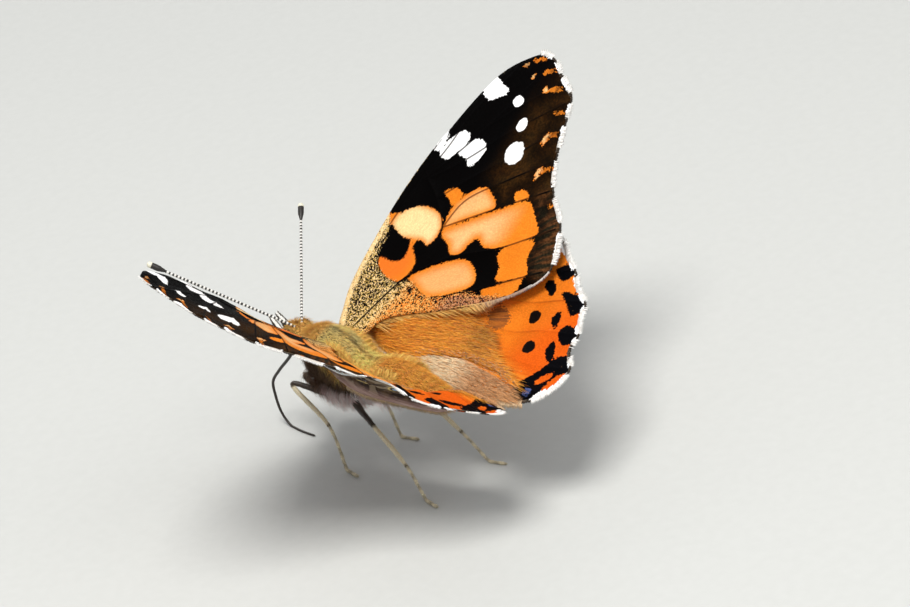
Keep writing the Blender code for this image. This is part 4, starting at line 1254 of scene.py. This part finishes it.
def scatter(triangles, density, keep):
    """Random points on the skin's triangles, with normals, where keep says so."""
    a, b, c = triangles[:, 0], triangles[:, 1], triangles[:, 2]
    cross = np.cross(b - a, c - a)
    areas = np.linalg.norm(cross, axis=1) / 2.0
    normals = cross / (2.0 * areas[:, None] + 1e-12)
    weight = areas * density * keep((a + b + c) / 3.0, normals)
    count = int(weight.sum())
    chosen = RANDOM.choice(len(areas), size=count, p=weight / weight.sum())
    first, second = RANDOM.random((2, count))
    flip = first + second > 1.0
    first, second = np.where(flip, 1.0 - first, first), np.where(flip, 1.0 - second, second)
    points = a[chosen] + (b - a)[chosen] * first[:, None] + (c - a)[chosen] * second[:, None]
    return points, normals[chosen]


def grow(triangles, material, name, density, keep, length_at, stand, width, tint_at, sweep):
    """Hair over part of the skin: it leans along its sweep and stands off by a share.

    sweep is the way a hair on the left side leans, as forward, outward and up.
    """
    points, normals = scatter(triangles, density, keep)
    count = len(points)
    forward, left, up = points.T
    lean = np.array(sweep) * np.stack((np.ones(count), np.sign(left), np.ones(count)), axis=1)
    lean = lean + RANDOM.normal(0.0, 0.22, (count, 3))
    lie = lean - normals * np.sum(lean * normals, axis=1)[:, None]
    lie /= np.linalg.norm(lie, axis=1)[:, None] + 1e-9
    length = (length_at(forward, left, up) * RANDOM.uniform(0.7, 1.15, count))[:, None]
    rise = (stand + RANDOM.uniform(-0.15, 0.15, count))[:, None]
    bends = points + (lie * (1.0 - rise) * 0.8 + normals * rise * 1.5) * length * 0.5
    tips = points + (lie * (1.1 - rise) + normals * rise) * length
    tints = tint_at(points, normals) * RANDOM.uniform(0.85, 1.5, (count, 1))
    turn = np.arctan2(left, up - body_axis(forward)) / math.tau + 0.5
    bake = np.stack((turn, (forward + 16.0) / 24.0), axis=1)
    widths = width * RANDOM.uniform(0.8, 1.2, count)
    spikes(name, points - normals * HAIR_SINK, tips, bends, widths, normals, tints.clip(0.0, 1.0), bake,
           material, "body_hair")


def side_tint(points, normals):
    """Gold to ginger hair at the wings' roots, darkened below them as painted shade."""
    shade = RANDOM.random((len(points), 1))
    gold = np.array((1.0, 0.62, 0.15)) * (1.0 - shade) + np.array((0.86, 0.40, 0.08)) * shade
    # Darker low on the sides: painted shade under the wings.
    low = ease((-2.0 - points[:, 2:3]) / 0.7)
    return gold + (np.array((0.10, 0.05, 0.025)) - gold) * low


def belly_tint(points, normals):
    """Breast darkened as painted shade, and a pale pinkish belly behind it, its pink partly painted reflected
    light.
    """
    rear = ease((0.6 - points[:, :1]) / 1.6)
    # Dark breast: painted shade; pink of the belly: partly painted reflected light.
    return np.array((0.12, 0.06, 0.035)) * (1.0 - rear) + np.array((0.92, 0.68, 0.66)) * rear


def between(values, low, high):
    return (values > low) & (values < high)


def build_fur(triangles, material):
    """Seven coats, each as its name, density, place, length, stand, width, tint and sweep."""
    def at_sides(centre, normals):
        forward, left, up = centre.T
        return between(forward, -7.0, 0.6) & (np.abs(left) > 0.9) & (up > -3.4) & (normals[:, 2] > -0.2)

    def at_waist(centre, normals):
        forward, left, up = centre.T
        return between(forward, -9.0, -1.2) & (np.abs(left) > 0.7) & (up > -3.0) & (normals[:, 2] > -0.4)

    def on_thorax(centre, normals):
        return between(centre[:, 0], -4.4, 4.4)

    def on_collar(centre, normals):
        return between(centre[:, 0], 1.9, 4.9) & (centre[:, 2] > -3.3)

    def on_belly(centre, normals):
        return between(centre[:, 0], -7.5, 2.6) & (normals[:, 2] < -0.3)

    def on_head(centre, normals):
        forward, left, up = centre.T
        near_eye = (np.hypot(np.abs(left) - 1.2, up + 3.05) < 0.5) & (forward > 5.0)
        return (forward >= 3.9) & ~near_eye

    def on_abdomen(centre, normals):
        return centre[:, 0] <= -3.6

    def thorax_length(forward, left, up):
        longer = 0.5 * ease((-4.6 - up) / 1.4) + 0.3 * ease((forward - 1.4) / 1.4)
        return 1.15 - 0.2 * ease((up + 2.0) / 2.0) + longer

    def head_length(forward, left, up):
        beside_eyes = 0.55 * ease((np.abs(left) - 0.35) / 0.3) * ease((up + 3.0) / 0.5)
        return 0.6 + 0.45 * ease((up + 3.2) / 1.2) + beside_eyes

    backward = (-1.0, 0.0, 0.0)
    coats = (
        ("side_hair", 120.0, at_sides, lambda forward, left, up: 2.3 - 0.9 * ease((-forward - 3.0) / 4.0),
         0.3, 0.055, side_tint, (-0.8, 0.95, 0.05)),
        ("waist_hair", 130.0, at_waist, lambda forward, left, up: 1.9,
         0.35, 0.055, side_tint, (-0.45, 1.3, 0.25)),
        ("thorax_fur", 150.0, on_thorax, thorax_length,
         0.34, 0.052, body_tint, backward),
        ("collar_fur", 170.0, on_collar, lambda forward, left, up: 0.95 + 0.5 * ease((forward - 2.6) / 1.2),
         0.62, 0.05, body_tint, backward),
        ("belly_fur", 90.0, on_belly, lambda forward, left, up: 2.4,
         0.55, 0.055, belly_tint, (-0.9, 0.0, -0.6)),
        ("head_fur", 260.0, on_head, head_length,
         0.62, 0.042, body_tint, backward),
        ("abdomen_fur", 150.0, on_abdomen, lambda forward, left, up: 1.0 + 0.35 * ease((forward + 7.0) / 3.0),
         0.2, 0.045, body_tint, backward),
    )
    for coat in coats:
        grow(triangles, material, *coat)


# Limbs and feelers

def lathe(name, path, radii, tints, sides, material):
    """Closed round piece along a path of the butterfly's frame, with a radius and tint at each point."""
    path = np.asarray(path)
    along = np.gradient(path, axis=0)
    along /= np.linalg.norm(along, axis=1)[:, None]
    guide = np.array((0.0, 1.0, 0.0)) if abs(along[:, 1]).mean() < 0.8 else np.array((1.0, 0.0, 0.0))
    first = np.cross(along, guide)
    first /= np.linalg.norm(first, axis=1)[:, None]
    second = np.cross(along, first)
    angles = (np.arange(sides) / sides * math.tau)[None, :, None]
    ring = first[:, None, :] * np.cos(angles) + second[:, None, :] * np.sin(angles)
    vertices = (path[:, None, :] + ring * np.asarray(radii)[:, None, None]).reshape(-1, 3)
    last = (len(path) - 1) * sides
    faces = [(start + k, start + (k + 1) % sides, start + sides + (k + 1) % sides, start + sides + k)
             for start in range(0, last, sides) for k in range(sides)]
    faces += [tuple(range(sides)), tuple(range(last, last + sides))]
    placed = place(vertices)
    placed[:, 2] = np.maximum(placed[:, 2], 0.0)
    piece = add_piece(name, solid_mesh(name, placed, faces), material)
    add_colours(piece, "tint", np.repeat(np.asarray(tints), sides, axis=0))
    return piece


def round_end(share, start, least):
    """A radius factor that closes a limb's end in a round nose from the start share on."""
    nose = np.clip((share - start) / (1.0 - start), 0.0, 1.0)
    return np.sqrt(np.maximum(1.0 - nose ** 2, least))


def around_limb(path, at):
    """Middles, lengthwise and outward directions and turns of scales set at places of a limb's path."""
    low = at.astype(int)
    along = path[low + 1] - path[low]
    middle = path[low] + along * (at - low)[:, None]
    along = along / np.linalg.norm(along, axis=1)[:, None]
    turn = RANDOM.random(len(at)) * math.tau
    across = np.cross(along, (0.0, 1.0, 0.0))
    across /= np.linalg.norm(across, axis=1)[:, None] + 1e-9
    out = across * np.cos(turn)[:, None] + np.cross(along, across) * np.sin(turn)[:, None]
    return middle, along, out, turn


def run_along(path):
    steps = np.linalg.norm(np.diff(path, axis=0), axis=1)
    return np.concatenate(([0.0], np.cumsum(steps)))


def build_antenna(side, word, material):
    """Feeler of some forty ringed joints, black with a pale band on each, and a cream-tipped club."""
    root = ANTENNA_ROOT * (1.0, side, 1.0)
    tip = ANTENNA_TIPS[word]
    length = float(np.linalg.norm(tip - root))
    club_start = length - ANTENNA_CLUB
    stops = np.concatenate((np.arange(0.0, club_start, ANTENNA_RING / 8.0),
                            np.linspace(club_start, length, 34)))
    phase = (stops / ANTENNA_RING) % 1.0
    joint = 1.0 - 0.16 * np.exp(-((phase - 0.02) / 0.1) ** 2) - 0.16 * np.exp(-((phase - 1.0) / 0.1) ** 2)
    along_club = (stops - club_start) / ANTENNA_CLUB
    swell = ease(along_club / 0.5)
    radii = (0.125 + 0.165 * swell) * joint ** (1.0 - swell) * round_end(along_club, 0.86, 0.004)
    pale = (phase < 0.46) & (along_club < 0.02)
    tints = np.where(pale[:, None], (0.92, 0.90, 0.84), (0.008, 0.006, 0.005))
    tints = np.where((along_club > 0.76)[:, None], (0.90, 0.86, 0.68), tints)
    path = root + (tip - root) * (stops / length)[:, None]
    piece = lathe(f"antenna_{word}_rings", path, radii, tints, LIMB_SIDES, material)
    settle(piece, "horn", f"antenna_{word}")


def build_proboscis(material):
    """Tongue: a thin tube that tapers to its end on the floor."""
    points = [(forward, 0.0, up) for forward, up in PROBOSCIS]
    points += [(forward, left, up_at_height(forward, 0.13)) for forward, left in PROBOSCIS_FLOOR]
    path = smooth_path(points, 0.16)
    path[:, 2] = np.maximum(path[:, 2], up_at_height(path[:, 0], 0.1))
    share = run_along(path)
    share /= share[-1]
    radii = (0.17 - 0.07 * share + 0.06 * np.exp(-share / 0.03)) * round_end(share, 0.985, 0.01)
    tints = np.array((0.014, 0.009, 0.006)) * (1.0 + 0.5 * share)[:, None]
    piece = lathe("proboscis_tube", path, radii, tints, 14, material)
    settle(piece, "horn", "proboscis")


def build_palps(horn, hair):
    """Labial palps: a core each, covered with upright white and black scales in bands."""
    for side, word in ((1.0, "left"), (-1.0, "right")):
        path = smooth_path(np.array(PALP) * (1.0, side, 1.0), 0.1)
        share = run_along(path)
        share /= share[-1]
        radii = (0.29 - 0.19 * share) * round_end(share, 0.9, 0.02)
        tints = np.tile((0.75, 0.72, 0.66), (len(path), 1))
        piece = lathe(f"palp_{word}_core", path, radii, tints, LIMB_SIDES, horn)
        settle(piece, "body_hair", f"palp_{word}")
        at = RANDOM.random(PALP_SCALES) * 0.97
        middle, along, out, turn = around_limb(path, at * (len(path) - 1))
        roots = middle + out * (0.26 - 0.19 * at)[:, None]
        length = (RANDOM.uniform(0.35, 0.6, PALP_SCALES) * (1.0 - 0.45 * at))[:, None]
        tips = roots + (along * 0.85 + out * 0.5) * length
        bends = roots + (along * 0.35 + out * 0.3) * length
        stripe = np.sin(turn * 3.0 + at * 4.0) > 0.15
        tints = np.where(stripe[:, None], (0.95, 0.94, 0.90), (0.02, 0.015, 0.012))
        bake = np.stack((turn / math.tau, at), axis=1)
        spikes(f"palp_{word}_scales", roots, tips, bends, np.full(PALP_SCALES, 0.07), out, tints, bake, hair,
               "body_hair")


def build_eyes(material):
    for side, word in ((1.0, "left"), (-1.0, "right")):
        name = f"eye_{word}_facets"
        centre = EYE_CENTRE * (1.0, side, 1.0)
        mesh = ball(name, lambda *point: tuple(centre + EYE_HALF * np.array(point)), 40, 56)
        mesh.vertices.foreach_set("co", place(vertex_rows(mesh)).ravel())
        mesh.update()
        mesh.shade_smooth()
        piece = add_piece(name, mesh, material)
        settle(piece, "eye", "eye_" + word)


def leg_path(bends, foot, side):
    points = [tuple(p) for p in bends]
    if foot:
        heel, toe = foot
        middle = ((heel[0] + toe[0]) / 2.0, (heel[1] + toe[1]) / 2.0)
        points += [(f, l, up_at_height(f, 0.13)) for f, l in (heel, middle, toe)]
    return np.array(points) * (1.0, side, 1.0)


def leg_look(path, knee, ankle, foot):
    """Radius and tint at each point: thick dark femur, cream tibia, and short joints of the tarsus."""
    run = run_along(path)
    last = len(path) - 1
    index = np.arange(len(path))
    radii = np.where(index <= knee, 0.36 - 0.14 * ease(index / max(knee, 1)), 0.2)
    tibia = np.clip((index - knee) / max(ankle - knee, 1), 0.0, 1.0)
    radii = np.where(index > knee, 0.19 + 0.05 * np.sin(tibia * math.pi) - 0.03 * tibia, radii)
    tints = np.where((index <= knee)[:, None] | (foot is None), LEG_DARK, LEG_CREAM)
    for joint, reach, tone in ((knee, 0.5, LEG_DARK), (ankle, 0.35, LEG_TAN * 0.3)):
        near = ease(1.0 - np.abs(run - run[joint]) / reach)[:, None]
        tints = tints * (1.0 - near) + tone * near
    if foot:
        share = (run - run[ankle]) / max(run[last] - run[ankle], 0.1)
        joints = 0.5 + 0.5 * np.cos(share * 5.0 * math.tau)
        tarsus = index > ankle
        radii = np.where(tarsus, 0.15 - 0.03 * joints, radii)
        tints = np.where(tarsus[:, None], LEG_CREAM * (1.0 - 0.45 * joints[:, None]), tints)
    return radii * round_end(index - last + 1.0, 0.0, 0.1), tints


def build_leg(name, side, bends, foot, horn, hair):
    """One leg with its scales and bristles. A foreleg has no foot, and is dark and shaggy all along."""
    points = leg_path(bends, foot, side)
    path = smooth_path(points, 0.12)
    if foot:
        path[:, 2] = np.maximum(path[:, 2], up_at_height(path[:, 0], 0.11))
    knee, ankle = (int(np.argmin(np.linalg.norm(path - points[i], axis=1))) for i in (2, 3))
    radii, tints = leg_look(path, knee, ankle, foot)
    piece = lathe(name + "_joints", path, radii, tints, LIMB_SIDES, horn)
    settle(piece, "leg", name)
    last = len(path) - 1
    count, longest = (700, 0.34) if foot else (420, 0.42)
    at = RANDOM.uniform(4, last - 1.5, count)
    low = at.astype(int)
    middle, along, out, turn = around_limb(path, at)
    roots = middle + out * (radii[low] * 0.85)[:, None]
    shaggy = (low < knee) | (not foot)
    long_hair = RANDOM.uniform(0.5, 1.0, count) * longest
    length = np.where(shaggy, long_hair, RANDOM.uniform(0.12, 0.26, count))[:, None]
    tips = roots + (along * 0.85 + out * 0.4) * length
    hair_bends = roots + (along * 0.35 + out * 0.25) * length
    hair_tints = (tints[low] * RANDOM.uniform(0.85, 1.35, (count, 1))).clip(0, 0.95)
    kept = place(tips)[:, 2] > 0.00002
    bake = np.stack((turn / math.tau, at / last), axis=1)
    spikes(name + "_bristles", roots[kept], tips[kept], hair_bends[kept], np.full(kept.sum(), 0.055),
           out[kept], hair_tints[kept], bake[kept], hair, "leg")


# Stage

def build_stage():
    bpy.ops.mesh.primitive_plane_add(size=1.6, location=(0.0, 0.0, 0.0))
    floor = bpy.context.object
    floor.name = "floor"
    material, nodes, put = new_material("pale_floor", 0.85)
    grain = nodes.noise(nodes.place(), 900.0, 3.0)
    nodes.put(put["Base Color"], nodes.mix(grain, (0.50, 0.505, 0.485), (0.54, 0.545, 0.525)))
    floor.data.materials.append(material)


def aim(thing, target):
    thing.rotation_euler = (Vector(target) - thing.location).to_track_quat("-Z", "Y").to_euler()


def add_light(name, place_at, size, power, colour):
    lamp = bpy.data.lights.new(name, "AREA")
    lamp.size = size
    lamp.energy = power
    lamp.color = colour
    thing = bpy.data.objects.new(name, lamp)
    bpy.context.scene.collection.objects.link(thing)
    thing.location = place_at
    aim(thing, (0.0, 0.0, 0.012))


def build_lights():
    """Plain soft studio light, strongest from above."""
    add_light("key", (0.15, 0.11, 0.55), 0.24, 3.5, (1.0, 0.985, 0.96))
    add_light("back", (0.02, 0.46, 0.44), 0.45, 1.0, (1.0, 1.0, 1.0))
    add_light("front", (-0.20, -0.42, 0.30), 0.40, 0.6, (0.97, 0.98, 1.0))
    world = bpy.data.worlds.new("soft_room")
    world.use_nodes = True
    world.node_tree.nodes["Background"].inputs[0].default_value = (0.95, 0.97, 1.0, 1.0)
    world.node_tree.nodes["Background"].inputs[1].default_value = 0.42
    bpy.context.scene.world = world


# The photograph's view: directions of the picture's right, up and towards the camera in the
# butterfly's frame, the camera's distance, the scale at the wing roots, and where they show.
VIEW_RIGHT = (-0.69169, -0.72095, -0.04234)
VIEW_UP = (0.39179, -0.42384, 0.81661)
VIEW_TOWARD = (-0.60668, 0.54826, 0.57563)
VIEW_DISTANCE = 400.0
PIXELS_PER_MM = 11.027
ROOTS_PIXEL = (336.93, 331.34)
PICTURE = (910, 607)


def build_camera():
    data = bpy.data.cameras.new("photo_view")
    camera = bpy.data.objects.new("photo_view", data)
    bpy.context.scene.collection.objects.link(camera)
    focal = PIXELS_PER_MM * VIEW_DISTANCE
    data.sensor_width = 36.0
    data.lens = focal / PICTURE[0] * 36.0
    data.clip_start = 0.02
    data.clip_end = 5.0
    right, up, toward = (place_direction(v) for v in (VIEW_RIGHT, VIEW_UP, VIEW_TOWARD))
    roots = Vector(place((0.0, 0.0, 0.0))[0])
    camera.location = roots + toward * VIEW_DISTANCE * MM
    across = (PICTURE[0] / 2.0 - ROOTS_PIXEL[0]) / focal
    above = (ROOTS_PIXEL[1] - PICTURE[1] / 2.0) / focal
    back = (toward - right * across - up * above).normalized()
    right = (right - back * right.dot(back)).normalized()
    up = back.cross(right)
    turn = Matrix((right, up, back)).transposed()
    camera.rotation_euler = turn.to_euler()
    bpy.context.scene.camera = camera


build_camera()
build_lights()
build_stage()
SCENE = bpy.context.scene
SCENE.view_settings.view_transform = "Standard"
SCENE.view_settings.look = "None"

UPPER = upper_scales()
UNDER = under_scales()
HAIR = coat_material("soft_hair", 0.6, 0.08)
SKIN = coat_material("hairy_skin", 0.8, 0.5)
HORN = horn_material("fine_horn", 0.35)
FRINGE = coat_material("fringe_scales", 0.65, 0.12)

build_wings(UPPER, UNDER)
build_fringes(FRINGE)
build_wing_hair(HAIR)
SKIN_TRIANGLES = body_skin(SKIN)
build_fur(SKIN_TRIANGLES, HAIR)
build_eyes(eye_material())
build_palps(HORN, HAIR)
build_proboscis(HORN)
for SIDE, WORD in ((1.0, "left"), (-1.0, "right")):
    build_antenna(SIDE, WORD, HORN)
    build_leg("foreleg_" + WORD, SIDE, FORELEG, None, HORN, HAIR)
    build_leg("midleg_" + WORD, SIDE, MIDLEG, MIDLEG_FOOT, HORN, HAIR)
    build_leg("hindleg_" + WORD, SIDE, HINDLEG, HINDLEG_FOOT, HORN, HAIR)
